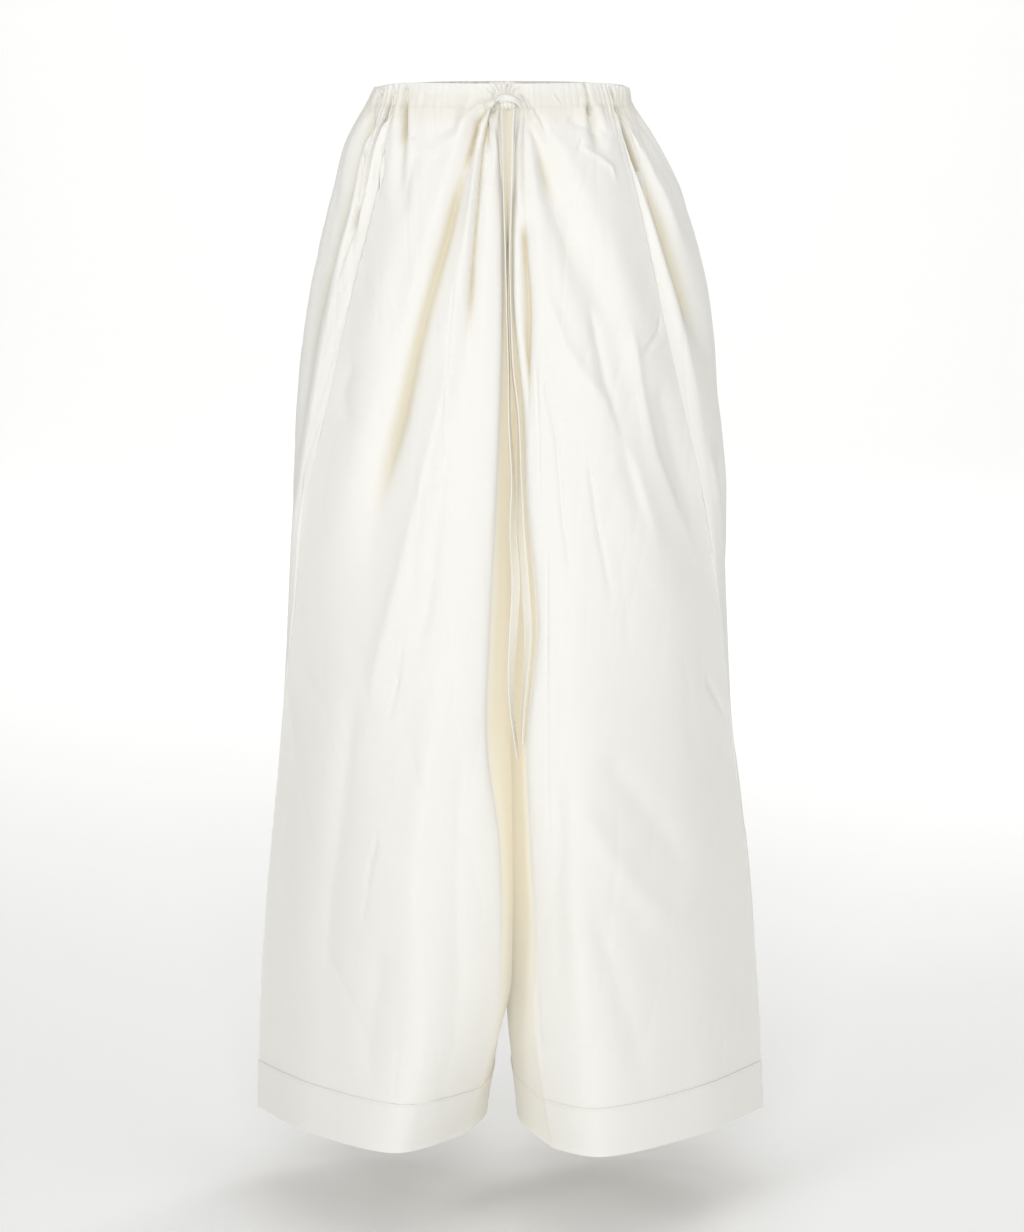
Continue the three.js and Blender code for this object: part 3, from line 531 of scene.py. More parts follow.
def cloth(panel, side, t, z, extra=0.0, folds=True):
    """The outer face of the cloth with its folds, levels by places by 3, in millimetres."""
    t, z = np.asarray(t, float), np.asarray(z, float)
    base = plain(panel, side, t, z)
    x = base[..., 0]
    waist = plain(panel, side, t, np.array([-CASING_HEIGHT]))[0]
    arc = np.concatenate([[0], np.cumsum(np.linalg.norm(np.diff(waist, axis=0), axis=-1))])
    if panel == "back":
        arc = arc + 130.0
    lift = gathers(panel, arc, t, z)
    height = np.broadcast_to(z[:, None], x.shape)
    high = 1 - ease((-z - 60) / 60)[:, None]
    drawn = creases(x, height)
    if panel == "front":
        facing = (ease((t - 2.2) / 0.6) * ease((6.4 - t) / 0.5))[None]
        for *fold, _ in FRONT_FOLDS[side["name"]]:
            lift = lift - facing * fold_depth(fold, x, z[:, None])
        lift = lift - facing * (crumple("front", side, x, z) + crumple("streaks", side, x, z))
        drawn = drawn * mix(facing, 1.0, high)
    else:
        facing = (ease((t + 0.1) / 0.3) * ease((5.9 - t) / 0.6))[None]
        for fold in BACK_FOLDS[side["name"]]:
            lift = lift - facing * fold_depth(fold, t[None], z[:, None])
        lift = lift - facing * crumple("back", side, t[None] * 45.0 + 0 * x, z)
        drawn = drawn * ease((2.0 - t) / 0.8)[None]
    if folds:
        lift = lift - seam_pull(t, z, 6.0 if panel == "front" else 0.0, 0.12)
    edge = ease((t if panel == "front" else 6 - t) / 0.5)[None]
    quiet = np.where(z[:, None] < CROTCH_Z, 1.0, edge)
    made = base + outward(panel, side, t, z) * (lift * quiet - drawn + extra)[..., None]
    at_hem = ease((-z - HEM_LIFT_FROM) / HEM_LIFT_OVER)[:, None]
    made[..., 2] += side["hem_lift"] * clamp01(-made[..., 1] / HEM_FRONT_Y) * at_hem
    fall = side["dip"] * np.minimum(1, (made[..., 0] / DIP_FULL_AT) ** DIP_POWER)
    fall = fall + BACK_DROP * ease(made[..., 1] / BACK_DROP_REACH)
    made[..., 2] -= fall * clamp01((z + CASING_HEIGHT) / (CASING_HEIGHT + CASING_TOP))[:, None]
    return made


def waist_shade(z):
    """The slight shade under the casing's roll."""
    return (0.2 * ease((z + 42) / 18) * ease((-2 - z) / 9))[:, None]


def near_hem(z):
    """0 down to the shins and 1 at the hems, where the warm light between the legs is weaker."""
    return ease((-z - 740) / 260)[:, None]


# How strongly painted shade darkens the cloth in a fold, over how many millimetres past SHALLOW, and between
# the legs.
FRONT_PAINTED_SHADE = (0.9, 6.5, 0.5)
BACK_PAINTED_SHADE = (0.8, 7.0, 0.45)
SHALLOW = 2.2


# Painted shade in the folds, under the casing and between the legs, and painted glow between the legs.
def painted_shading(deep, between, z, in_folds, over, between_legs):
    painted_shade = np.maximum(in_folds * ease((deep - SHALLOW) / over), between_legs * between)
    return {"painted_shade": np.maximum(painted_shade, waist_shade(z)), "painted_glow": between}


def painted_tones(panel, side, t, z):
    """How much painted shade darkens the cloth's colour in its folds, under the casing and between the legs,
    and how much painted glow lights it between the legs, each 0 to 1."""
    x = plain(panel, side, t, z)[..., 0]
    height = np.broadcast_to(z[:, None], x.shape)
    if panel == "back":
        deep = ease((2.0 - t) / 0.8)[None] * creases(x, height)
        for fold in BACK_FOLDS[side["name"]]:
            deep = deep + 0.62 * fold_depth(fold, t[None], z[:, None])
        points = back_points(side, z)
        hollow = ease((points[:, 4, 1] - points[:, 6, 1] - 12) / 50)[:, None]
        between = hollow * (1 - 0.5 * near_hem(z)) * ease((t - 4.9) / 0.8)[None]
        return painted_shading(deep, between, z, *BACK_PAINTED_SHADE)
    facing = (ease((t - 2.2) / 0.6) * ease((6.4 - t) / 0.5))[None]
    deep = 0.85 * creases(x, height) * mix(facing, 1.0, 1 - ease((-z - 60) / 60)[:, None])
    for *fold, tone in FRONT_FOLDS[side["name"]]:
        deep = deep + tone * facing * fold_depth(fold, x, z[:, None])
    points = front_points(side, z)
    hollow = ease((points[:, 0, 1] - points[:, 3, 1] - 5) / 28)[:, None]
    low = near_hem(z)
    between = hollow * (1 - 0.5 * low) * (1 - ease((t - 1.8) / (0.6 + 1.2 * low)))
    return painted_shading(deep, between, z, *FRONT_PAINTED_SHADE)


def places(columns, start=0.0, stop=6.0):
    """Every t at which fine cloth has a column."""
    found = []
    for segment, count in enumerate(columns):
        found += [segment + i / count for i in range(count)]
    found = np.array(found + [len(columns)], float)
    inside = found[(found > start + 1e-6) & (found < stop - 1e-6)]
    return np.concatenate([[start], inside, [stop]])


def levels(top, bottom, step):
    count = max(2, int(round((top - bottom) / step)) + 1)
    return np.linspace(top, bottom, count)


def panel_levels(close, wide):
    """Levels down a panel: close together below the waist, wider apart down the leg."""
    return np.concatenate([levels(-PANEL_TOP, -260, close), levels(-260, -LENGTH, wide)[1:]])


# Mesh helpers


WELD_DISTANCE = 0.00002


def deselect():
    bpy.ops.object.select_all(action="DESELECT")


def select_only(piece):
    deselect()
    piece.select_set(True)
    bpy.context.view_layer.objects.active = piece


def grid_piece(name, points, uv, shades=None):
    """A grid primitive of rows by columns, moved to points in millimetres. uv is in metres of cloth, and
    shades says how much painted shade and painted glow each point carries."""
    rows, columns = points.shape[:2]
    deselect()
    bpy.ops.mesh.primitive_grid_add(x_subdivisions=columns - 1, y_subdivisions=rows - 1, size=2,
                                    enter_editmode=False, location=(0, 0, 0))
    piece = bpy.context.object
    piece.name = name
    mesh = piece.data
    mesh.name = name
    flat = np.empty(len(mesh.vertices) * 3)
    mesh.vertices.foreach_get("co", flat)
    flat = flat.reshape(-1, 3)
    column = np.rint((flat[:, 0] + 1) / 2 * (columns - 1)).astype(int)
    row = np.rint((1 - flat[:, 1]) / 2 * (rows - 1)).astype(int)
    mesh.vertices.foreach_set("co", (points[row, column] * MM).ravel())
    layer = mesh.uv_layers.active or mesh.uv_layers.new(name="cloth")
    layer.name = "cloth"
    corner = np.empty(len(mesh.loops), int)
    mesh.loops.foreach_get("vertex_index", corner)
    layer.data.foreach_set("uv", uv[row[corner], column[corner]].ravel().astype(float))
    for label, values in (shades or {}).items():
        layer = mesh.attributes.new(label, "FLOAT", "POINT")
        values = np.broadcast_to(values, points.shape[:2])[row, column]
        layer.data.foreach_set("value", values.astype(float))
    mesh.update()
    return piece


def cloth_uv(points, middle=True):
    """Distance along the cloth's rows and columns, in metres, from each row's middle or else its start."""
    across = np.linalg.norm(np.diff(points, axis=1), axis=-1)
    u = np.concatenate([np.zeros((len(points), 1)), np.cumsum(across, 1)], 1)
    if middle:
        u = u - u[:, -1:] / 2
    down = np.linalg.norm(np.diff(points, axis=0), axis=-1).mean(1)
    v = np.concatenate([[0], np.cumsum(down)])
    return np.stack([u, np.broadcast_to(-v[:, None], u.shape)], -1) * MM


def face_out(piece, away_from):
    """Turns the faces round if most of them look towards the line or point away_from(centre)."""
    total = 0.0
    for polygon in piece.data.polygons:
        total += polygon.normal.dot(polygon.center - away_from(polygon.center)) * polygon.area
    if total < 0:
        piece.data.flip_normals()


def smooth(piece, angle=60):
    select_only(piece)
    bpy.ops.object.shade_smooth_by_angle(angle=math.radians(angle))


def wall(piece, thickness):
    """Gives a sheet its thickness, inwards from its outer face."""
    solid = piece.modifiers.new("Wall", "SOLIDIFY")
    solid.thickness = thickness
    solid.offset = -1.0
    solid.use_even_offset = False
    select_only(piece)
    bpy.ops.object.modifier_apply(modifier=solid.name)
    smooth(piece)


def weld(piece):
    """Joins a ring's first and last columns."""
    select_only(piece)
    bpy.ops.object.mode_set(mode="EDIT")
    bpy.ops.mesh.select_all(action="SELECT")
    bpy.ops.mesh.remove_doubles(threshold=WELD_DISTANCE)
    bpy.ops.mesh.select_all(action="DESELECT")
    bpy.ops.object.mode_set(mode="OBJECT")


def finish_piece(piece, finish, slot, *nodes):
    """Gives a piece its finish and its body, and hides the CAD nodes that it stands for. slot is not used."""
    piece.data.materials.clear()
    piece.data.materials.append(material(finish))
    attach(piece, "root")
    if nodes:
        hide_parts(*nodes)


def cloth_piece(name, points, inside, finish, slot, nodes, shades=None, thickness=None, ring=False, **sheet):
    """A thin shell on rows of points, faced away from inside(centre)."""
    piece = grid_piece(name, points, cloth_uv(points), shades)
    if ring:
        weld(piece)
    face_out(piece, inside)
    wall(piece, thickness or sizes().cloth_thickness)
    finish_piece(piece, finish, slot, *nodes)


def leg_line(side, x):
    """The line inside a leg that its cloth faces away from."""
    return lambda centre: Vector((x * side["sign"], 0.0, centre.z))


# Materials


def plug(tree, socket, value):
    """Links a socket to a node's output, or gives it a value."""
    if isinstance(value, Socket):
        tree.links.new(value.out, socket)
    else:
        socket.default_value = value


def both_ways(operation):
    """An operator and its reflected form, each as one maths node."""
    return (lambda self, other: self.maths(operation, self, other),
            lambda self, other: self.maths(operation, other, self))


class Socket:
    """A material node's output, so that shader maths reads as an expression."""

    def __init__(self, tree, out):
        self.tree = tree
        self.out = out

    def maths(self, operation, first, second):
        node = self.tree.nodes.new("ShaderNodeMath")
        node.operation = operation
        for socket, value in zip(node.inputs, (first, second)):
            plug(self.tree, socket, value)
        return Socket(self.tree, node.outputs[0])

    __add__, __radd__ = both_ways("ADD")
    __sub__, __rsub__ = both_ways("SUBTRACT")
    __mul__, __rmul__ = both_ways("MULTIPLY")
    __pow__, __rpow__ = both_ways("POWER")


class Finish:
    """A material under construction."""

    def __init__(self, name):
        self.material = bpy.data.materials.new(name)
        self.material.use_nodes = True
        self.tree = self.material.node_tree
        self.shader = next(n for n in self.tree.nodes if n.type == "BSDF_PRINCIPLED")

    def node(self, kind, settings=None, inputs=None, output=0):
        """Adds a node: its settings first, then the values or links of its sockets, by name or number."""
        node = self.tree.nodes.new(kind)
        for key, value in (settings or {}).items():
            setattr(node, key, value)
        for key, value in (inputs or {}).items():
            plug(self.tree, node.inputs[key], value)
        return Socket(self.tree, node.outputs[output])

    def feed(self, name, value):
        """Links or sets one of the shader's own sockets."""
        plug(self.tree, self.shader.inputs[name], value)

    def blend(self, factor, first, second):
        """A colour mix."""
        return self.node("ShaderNodeMix", {"data_type": "RGBA"}, {0: factor, 6: first, 7: second}, output=2)


def rgba(colour, gain=1.0):
    return tuple(min(1.0, c * gain) for c in colour) + (1.0,)


def woven(name, colour, deep, shade=0.93, weave=1.0, rough=0.62):
    """Crisp plain-weave cotton: fine threads, slubs along them, and faint pressed-in creases."""
    finish = Finish(name)
    where = finish.node("ShaderNodeUVMap", {"uv_map": "cloth"})
    place = finish.node("ShaderNodeTexCoord", output=3)
    long_grain = finish.node("ShaderNodeMapping", inputs={"Vector": where, "Scale": (900.0, 22.0, 1.0)})
    cross_grain = finish.node("ShaderNodeMapping", inputs={"Vector": where, "Scale": (22.0, 900.0, 1.0)})
    slub = {"Scale": 1.0, "Detail": 3.0}
    slub_long = finish.node("ShaderNodeTexNoise", inputs={"Vector": long_grain, **slub})
    slub_cross = finish.node("ShaderNodeTexNoise", inputs={"Vector": cross_grain, **slub})
    thread = {"Vector": where, "Scale": 420.0, "Distortion": 0.6}
    warp = finish.node("ShaderNodeTexWave", {"bands_direction": "X"}, thread, output=1)
    weft = finish.node("ShaderNodeTexWave", {"bands_direction": "Y"}, thread, output=1)
    threads = warp * weft
    cloud = finish.node("ShaderNodeTexNoise", inputs={"Vector": place, "Scale": 9.0, "Detail": 3.0})
    wrinkle = finish.node("ShaderNodeTexNoise", {"noise_type": "RIDGED_MULTIFRACTAL"},
                          {"Vector": place, "Scale": 16.0, "Detail": 3.0, "Roughness": 0.45})
    tone = slub_long * 0.35 + slub_cross * 0.35 + cloud * 0.3
    # Painted shade: where the painted shade attribute is high the cloth's colour is mixed towards the fold
    # colour, darkening folds and the valley between the legs.
    painted_shade = finish.node("ShaderNodeAttribute", {"attribute_name": "painted_shade"}, output=2)
    unshaded_cloth = finish.blend(tone, rgba(colour, shade), rgba(colour, 1.02))
    painted_glow = finish.node("ShaderNodeAttribute", {"attribute_name": "painted_glow"}, output=2)
    base = finish.blend(painted_shade, unshaded_cloth, rgba(deep))
    finish.feed("Base Color", base)
    # Painted glow: where the painted glow attribute is high the cloth emits its own colour, lighting the valley
    # between the legs.
    finish.feed("Emission Color", finish.blend(painted_glow, rgba((0, 0, 0)), base))
    finish.feed("Emission Strength", 0.25)
    finish.feed("Roughness", rough + tone * 0.12)
    height = threads * 0.25 * weave + slub_long * 0.4 + slub_cross * 0.4
    fine = finish.node("ShaderNodeBump", inputs={"Strength": 0.35, "Distance": 0.0004, "Height": height})
    broad = finish.node("ShaderNodeBump", inputs={"Strength": 0.25, "Distance": 0.0016, "Height": wrinkle,
                                                   "Normal": fine})
    finish.feed("Normal", broad)
    finish.feed("Sheen Weight", 0.12)
    finish.feed("Sheen Roughness", 0.45)
    finish.feed("Specular IOR Level", 0.32)
    return finish.material


def twisted_thread(name, colour):
    """Sewing thread with its fine twist."""
    finish = Finish(name)
    place = finish.node("ShaderNodeTexCoord", output=3)
    twist = finish.node("ShaderNodeTexNoise", inputs={"Vector": place, "Scale": 900.0, "Detail": 2.0})
    finish.feed("Base Color", finish.blend(twist, rgba(colour, 0.9), rgba(colour)))
    finish.feed("Roughness", 0.5 + twist * 0.2)
    fine = finish.node("ShaderNodeBump", inputs={"Strength": 0.4, "Distance": 0.0002, "Height": twist})
    finish.feed("Normal", fine)
    return finish.material


def studio_floor(name, colour):
    finish = Finish(name)
    place = finish.node("ShaderNodeTexCoord", output=3)
    grain = finish.node("ShaderNodeTexNoise", inputs={"Vector": place, "Scale": 30.0, "Detail": 2.0})
    finish.feed("Base Color", finish.blend(grain, rgba(colour, 0.985), rgba(colour)))
    finish.feed("Roughness", 0.9)
    return finish.material


def material(name):
    """The named finish, made the first time that it is asked for."""
    found = bpy.data.materials.get(name)
    if found:
        return found
    s = sizes()
    makers = {
        "ivory_cloth": lambda: woven(name, s.cloth_colour, s.painted_fold_shade),
        "ivory_band": lambda: woven(name, s.cloth_colour, s.painted_fold_shade, shade=0.92),
        "ivory_tape": lambda: woven(name, s.cloth_colour, s.painted_fold_shade, shade=0.9, weave=1.2, rough=0.6),
        "sewing_thread": lambda: twisted_thread(name, s.thread_colour),
        "studio_floor": lambda: studio_floor(name, (0.96, 0.96, 0.955)),
    }
    return makers[name]()


# Ties

# The two free ends of the drawstring, hanging from the knot: x, y, z, and how far the tape's face is turned
# from the front, in degrees.
TIE_ROUTES = {
    "right": (
        (1.2, -105.2, -21.5, 30), (1.6, -109, -34, 35), (2.0, -113, -60, 50), (2.4, -116, -110, 76),
        (2.6, -118, -160, 86), (3.2, -121, -220, 84), (4.6, -123, -270, 80), (5.6, -125, -320, 76),
        (9.2, -126, -380, 66), (8.6, -127, -430, 44), (11.5, -127, -480, 22), (9.2, -128, -530, 26),
        (7.0, -129, -570, 46), (8.2, -130, -610, 62), (13.4, -131, -655, 80),
    ),
    "left": (
        (6.8, -105.2, -21.5, 150), (6.0, -109, -34, 140), (5.4, -113, -60, 122), (5.2, -116, -110, 98),
        (5.4, -118, -160, 94), (6.6, -121, -220, 95), (8.5, -124, -270, 100), (14.0, -125, -320, 100),
        (15.6, -125, -380, 112), (17.0, -127, -430, 130), (20.6, -128, -480, 148), (23.6, -131, -530, 152),
        (21.6, -131, -570, 130), (18.6, -132, -610, 108), (17.5, -132, -640, 92),
    ),
}
# The tape's cross-section, in halves of its width and in thicknesses.
TAPE_OUTLINE = (
    (1, 0), (0.94, 0.42), (0.6, 0.5), (0, 0.44), (-0.6, 0.5), (-0.94, 0.42),
    (-1, 0), (-0.94, -0.42), (-0.6, -0.5), (0, -0.44), (0.6, -0.5), (0.94, -0.42),
)
TAPE_STEPS = 200


def along_route(route, steps):
    """Points at even distances on the smooth curve through a route, in millimetres."""
    points = np.array(route, float)[None]
    fine = spline(points, np.linspace(0, points.shape[1] - 1, 1200))[0]
    gone = np.concatenate([[0], np.cumsum(np.linalg.norm(np.diff(fine, axis=0), axis=-1))])
    even = np.linspace(0, gone[-1], steps + 1)
    return np.stack([np.interp(even, gone, fine[:, k]) for k in range(3)], -1), gone[-1]


def tape_points(route, width, thickness, steps=TAPE_STEPS):
    """A flat tape as rows of points round its edge, slightly cupped, with folded edges: the points, how much
    painted shade they carry, the centreline and its length."""
    route = np.array(route, float)
    centre, length = along_route(route[:, :3], steps)
    tangent = unit(np.gradient(centre, axis=0))
    share = np.linspace(0, len(route) - 1, steps + 1)
    angle = np.radians(np.interp(share, np.arange(len(route)), route[:, 3]))
    wide = np.stack([np.cos(angle), np.sin(angle), np.zeros_like(angle)], -1)
    wide = unit(wide - tangent * np.sum(wide * tangent, -1, keepdims=True))
    thin = unit(np.cross(tangent, wide))
    waver = 0.25 * np.sin(np.linspace(0, length, steps + 1) / 31.0)
    rows = []
    for u, v in TAPE_OUTLINE:
        cup = 0.35 * thickness * (u * u - 0.5) + waver * u * u
        rows.append(centre + wide * (u * width / 2) + thin * (v * thickness + cup[:, None]))
    # Painted shade on the tape's broad faces, its folded edges left bright, a little lighter towards the free
    # end.
    face = np.array([0.65 * (abs(u) < 0.9) for u, _ in TAPE_OUTLINE + TAPE_OUTLINE[:1]])
    painted_shade = face * (1 - 0.4 * ease((np.linspace(0, 1, steps + 1)[:, None] - 0.6) / 0.2))
    return np.stack(rows, 1), painted_shade, centre, length


def tube_piece(name, rings, painted_shade):
    """A closed tube through rings of points, capped at both ends."""
    closed = np.concatenate([rings, rings[:, :1]], 1)
    piece = grid_piece(name, closed, cloth_uv(closed, middle=False), {"painted_shade": painted_shade})
    weld(piece)
    bpy.ops.object.mode_set(mode="EDIT")
    bpy.ops.mesh.select_mode(type="EDGE")
    bpy.ops.mesh.select_non_manifold(extend=False)
    bpy.ops.mesh.edge_face_add()
    bpy.ops.mesh.select_all(action="SELECT")
    bpy.ops.mesh.normals_make_consistent(inside=False)
    bpy.ops.object.mode_set(mode="OBJECT")
    smooth(piece, 50)
    return piece


# The photograph's camera, in metres and degrees, with its focal length and height in pixels.
CAMERA_PLACE = (0.008, -3.83, 0.15)
CAMERA_TILT = 10.16
FOCAL_PIXELS = 3843
PICTURE_PIXELS = 1232
SENSOR_WIDTH = 36.0


class TROUSERS_OT_camera(bpy.types.Operator):
    """Add the camera at the photograph's viewing angle"""

    bl_idname = "trousers.camera"
    bl_label = "Camera"

    def execute(self, context):
        pitch = math.radians(CAMERA_TILT)
        deselect()
        bpy.ops.object.camera_add(location=CAMERA_PLACE, rotation=(math.radians(90) - pitch, 0, 0))
        camera = context.object
        camera.name = "camera"
        camera.data.sensor_fit = "AUTO"
        camera.data.sensor_width = SENSOR_WIDTH
        camera.data.lens = SENSOR_WIDTH * FOCAL_PIXELS / PICTURE_PIXELS
        camera.data.clip_end = 60.0
        context.scene.camera = camera
        return {"FINISHED"}


class TROUSERS_OT_ties(bpy.types.Operator):
    """Add the drawstring's two hanging ends"""

    bl_idname = "trousers.ties"
    bl_label = "Tie ends"

    def execute(self, context):
        s = sizes()
        for side in SIDES:
            name = side["name"]
            rings, painted_shade, centre, length = tape_points(TIE_ROUTES[name], s.tie_width / MM,
                                                      s.tie_thickness / MM)
            piece = tube_piece(f"tie_tape_{name}", rings, painted_shade)
            finish_piece(piece, "ivory_tape", "tie_tape", f"tie_end_{name}")
            path = [tuple(point * MM) for point in centre[::5]]
            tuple(path[0])
        return {"FINISHED"}


def leg_panels(panel, columns, levels_down, edge, inner):
    """The right and left panels of one kind, with their edge column drawn back from the side seam."""
    t, z = places(columns), panel_levels(*levels_down)
    for side in SIDES:
        points = cloth(panel, side, t, z)
        points[:, edge] += SEAM_GAP * unit(points[:, inner] - points[:, edge])
        cloth_piece(f"{panel}_panel_{side['name']}", points, leg_line(side, 0.12), "ivory_cloth", "cloth",
                    [f"{panel}_{side['name']}"], painted_tones(panel, side, t, z), held="hung",
                    rests_on=["casing_tunnel"])


class TROUSERS_OT_fronts(bpy.types.Operator):
    """Add the right and left front panels"""

    bl_idname = "trousers.fronts"
    bl_label = "Front panels"

    def execute(self, context):
        leg_panels("front", FRONT_COLUMNS, FRONT_LEVELS, -1, -2)
        return {"FINISHED"}


class TROUSERS_OT_backs(bpy.types.Operator):
    """Add the right and left back panels"""

    bl_idname = "trousers.backs"
    bl_label = "Back panels"

    def execute(self, context):
        leg_panels("back", BACK_COLUMNS, BACK_LEVELS, 0, 1)
        return {"FINISHED"}


def leg_ring(side, z, extra):
    """Both panels of a leg as one closed ring of places: levels by places by 3."""
    front = cloth("front", side, places(FRONT_COLUMNS), z, extra)
    back = cloth("back", side, places(BACK_COLUMNS), z, extra)
    seam = (front[:, -1:] + back[:, :1]) / 2
    inseam = (front[:, :1] + back[:, -1:]) / 2
    return np.concatenate([inseam, front[:, 1:-1], seam, back[:, 1:-1], inseam], 1)


def leg_painted_tones(side, z):
    """The tones of both panels of a leg, in the same order as leg_ring."""
    front, back = painted_tones("front", side, places(FRONT_COLUMNS), z), painted_tones("back", side, places(BACK_COLUMNS), z)
    return {label: np.concatenate([front[label][:, :-1], back[label][:, :-1], front[label][:, :1]], 1)
            for label in front}


class TROUSERS_OT_hems(bpy.types.Operator):
    """Add the deep hem bands round both legs"""

    bl_idname = "trousers.hems"
    bl_label = "Hem bands"

    def execute(self, context):
        depth = sizes().hem_depth / MM
        for side in SIDES:
            z = levels(-LENGTH + depth, -LENGTH, 3.2)
            points = leg_ring(side, z, 0.0)
            down = clamp01((z[0] - z) / depth)
            top_roll = 0.45 * np.exp(-((down * depth / 2.2) ** 2))
            proud = 0.95 + top_roll + 0.4 * np.exp(-((1 - down) * depth / 2.5) ** 2)
            points = points + (leg_ring(side, z, 1.0) - points) * proud[:, None, None]
            name = side["name"]
            cloth_piece(f"hem_{name}", points, leg_line(side, 0.13), "ivory_band", "band_cloth",
                        [f"hem_band_{name}"], leg_painted_tones(side, z), ring=True, held="hung",
                        rests_on=[f"front_panel_{name}", f"back_panel_{name}"])
        return {"FINISHED"}


# The pocket facings: their top and bottom, and their reach behind the side seam.
POCKET_LEVELS = (-82.4, -201.6)
POCKET_REACH = (0.03, 0.75)
FACING_THICKNESS = 0.0008


class TROUSERS_OT_facings(bpy.types.Operator):
    """Add the pocket facings behind both side seams"""

    bl_idname = "trousers.facings"
    bl_label = "Pocket facings"

    def execute(self, context):
        for side in SIDES:
            z = levels(*POCKET_LEVELS, 3.0)
            t = np.linspace(*POCKET_REACH, 12)
            points = cloth("back", side, t, z, 1.0)
            name = side["name"]
            cloth_piece(f"pocket_strip_{name}", points, leg_line(side, 0.10), "ivory_band", "band_cloth",
                        [f"pocket_facing_{name}"], thickness=FACING_THICKNESS, held="hung",
                        rests_on=[f"back_panel_{name}"])
        return {"FINISHED"}


def round_waist(make, z):
    """make(panel, side, t, z) along the waist: centre front, right side, centre back, left side."""
    halves = []
    for side in SIDES:
        front = make("front", side, places(FRONT_COLUMNS), z)
        back = make("back", side, places(BACK_COLUMNS), z)
        halves.append(np.concatenate([front, back[:, 1:]], 1))
    return np.concatenate([halves[0], halves[1][:, ::-1][:, 1:]], 1)


def casing_ring(z, extra):
    """The casing's outer face, moved out by extra at each level."""
    ring = round_waist(lambda *at: cloth(*at, folds=False), z)
    ring[:, -1] = ring[:, 0]
    around = ring - np.array([0, 0, 1]) * ring[..., 2:]
    before, after = np.roll(around[:, :-1], 1, 1), np.roll(around[:, :-1], -1, 1)
    out = unit(np.cross(after - before, np.array([0.0, 0.0, -1.0])))
    sign = np.sign(np.sum(out * around[:, :-1]))
    out = np.concatenate([out, out[:, :1]], 1) * sign
    return ring + out * np.asarray(extra)[:, None, None]


# The casing's wall in metres, and how far it puffs out between its edges in millimetres.
CASING_THICKNESS = 0.0023
CASING_PUFF = 0.9


class TROUSERS_OT_casing(bpy.types.Operator):
    """Add the gathered casing that holds the elastic and drawstring"""

    bl_idname = "trousers.casing"
    bl_label = "Casing"

    def execute(self, context):
        z = levels(CASING_TOP, -CASING_HEIGHT, 1.3)
        share = (CASING_TOP - z) / (CASING_TOP + CASING_HEIGHT)
        puff = CASING_PUFF * np.sin(np.pi * share) ** 0.8
        points = casing_ring(z, puff)
        # Painted shade in the casing's gathers and under its roll, as on the panels.
        painted_shade = round_waist(lambda *at: painted_tones(*at)["painted_shade"], z)
        nodes = ["casing_front_right", "casing_front_left", "casing_back"]
        cloth_piece("casing_tunnel", points, lambda centre: Vector((0, 0, centre.z)), "ivory_band",
                    "band_cloth", nodes, {"painted_shade": painted_shade}, thickness=CASING_THICKNESS, ring=True,
                    held="gathered", rests_on=["front_panel_right"])
        return {"FINISHED"}


# The knot's middle and half sizes, the middle of its loop, and the line that the loop follows.
KNOT_CENTRE = np.array([CENTRE_X + 1, -106.0, -15.0])
KNOT_HALF = np.array([8.8, 6.6, 8.0])
LOOP_CENTRE = np.array([4, -100, -15])
LOOP_ROUTE = (
    (-8.5, -101.2, -14.5), (-5.6, -108.6, -11.6), (0, -113.0, -10.2), (4, -113.8, -10.4),
    (9.5, -112.8, -12.0), (14.8, -107.6, -16), (17, -101.6, -20.5),
)
LOOP_STEPS = 72


class TROUSERS_OT_knot(bpy.types.Operator):
    """Add the drawstring's knot at the centre front"""

    bl_idname = "trousers.knot"
    bl_label = "Knot"

    def execute(self, context):
        deselect()
        bpy.ops.mesh.primitive_uv_sphere_add(segments=96, ring_count=56, radius=1, location=(0, 0, 0))
        knot = context.object
        knot.name = "knot_lump"
        painted_shade = knot.data.attributes.new("painted_shade", "FLOAT", "POINT")
        for vertex in knot.data.vertices:
            p = np.array(vertex.co)
            low = clamp01(0.25 - p[2])
            front = math.atan2(p[0], 0.35 - p[1])
            pleat = 0.26 * low * (1 - abs(math.sin(6.6 * front + 0.8 * p[2] + 0.5)) ** 0.5)
            groove = 0.16 * math.exp(-((p[2] + 0.30 * p[0] * p[0] - 0.02) / 0.14) ** 2)
            vertex.co = Vector((KNOT_CENTRE + p * KNOT_HALF * (1.02 - pleat - groove)) * MM)
            # Painted shade in the knot's pleats and groove.
            painted_shade.data[vertex.index].value = 0.8 * clamp01((pleat + 0.5 * groove - 0.02) / 0.13)
        uv = knot.data.uv_layers.active
        uv.name = "cloth"
        for loop in uv.data:
            loop.uv = (loop.uv[0] * 0.05, loop.uv[1] * 0.02)
        smooth(knot)
        finish_piece(knot, "ivory_tape", "tie_tape", "tie_knot")

        centreline, _ = along_route(LOOP_ROUTE, LOOP_STEPS)
        tangent = unit(np.gradient(centreline, axis=0))
        lift = centreline - LOOP_CENTRE
        lift = unit(lift - tangent * np.sum(lift * tangent, -1, keepdims=True))
        wide = unit(np.cross(tangent, lift))
        half_width = 0.5 * mix(4.6, 6.4, np.sin(np.pi * np.linspace(0, 1, LOOP_STEPS + 1)))[:, None]
        rows = []
        for a in np.linspace(-1, 1, 13):
            rise = 0.9 - 1.3 * a * a - 0.25 * math.cos(7 * a)
            rows.append(centreline + wide * (half_width * a) + lift * rise)
        points = np.stack(rows, 1)
        arch = grid_piece("knot_wrap", points, cloth_uv(points))
        face_out(arch, lambda centre: Vector(LOOP_CENTRE * MM))
        wall(arch, sizes().cloth_thickness)
        finish_piece(arch, "ivory_tape", "tie_tape", "tie_arch")
        return {"FINISHED"}


# One stitch, in metres.
STITCH_LENGTH = 0.0022
STITCH_RADIUS = 0.00024


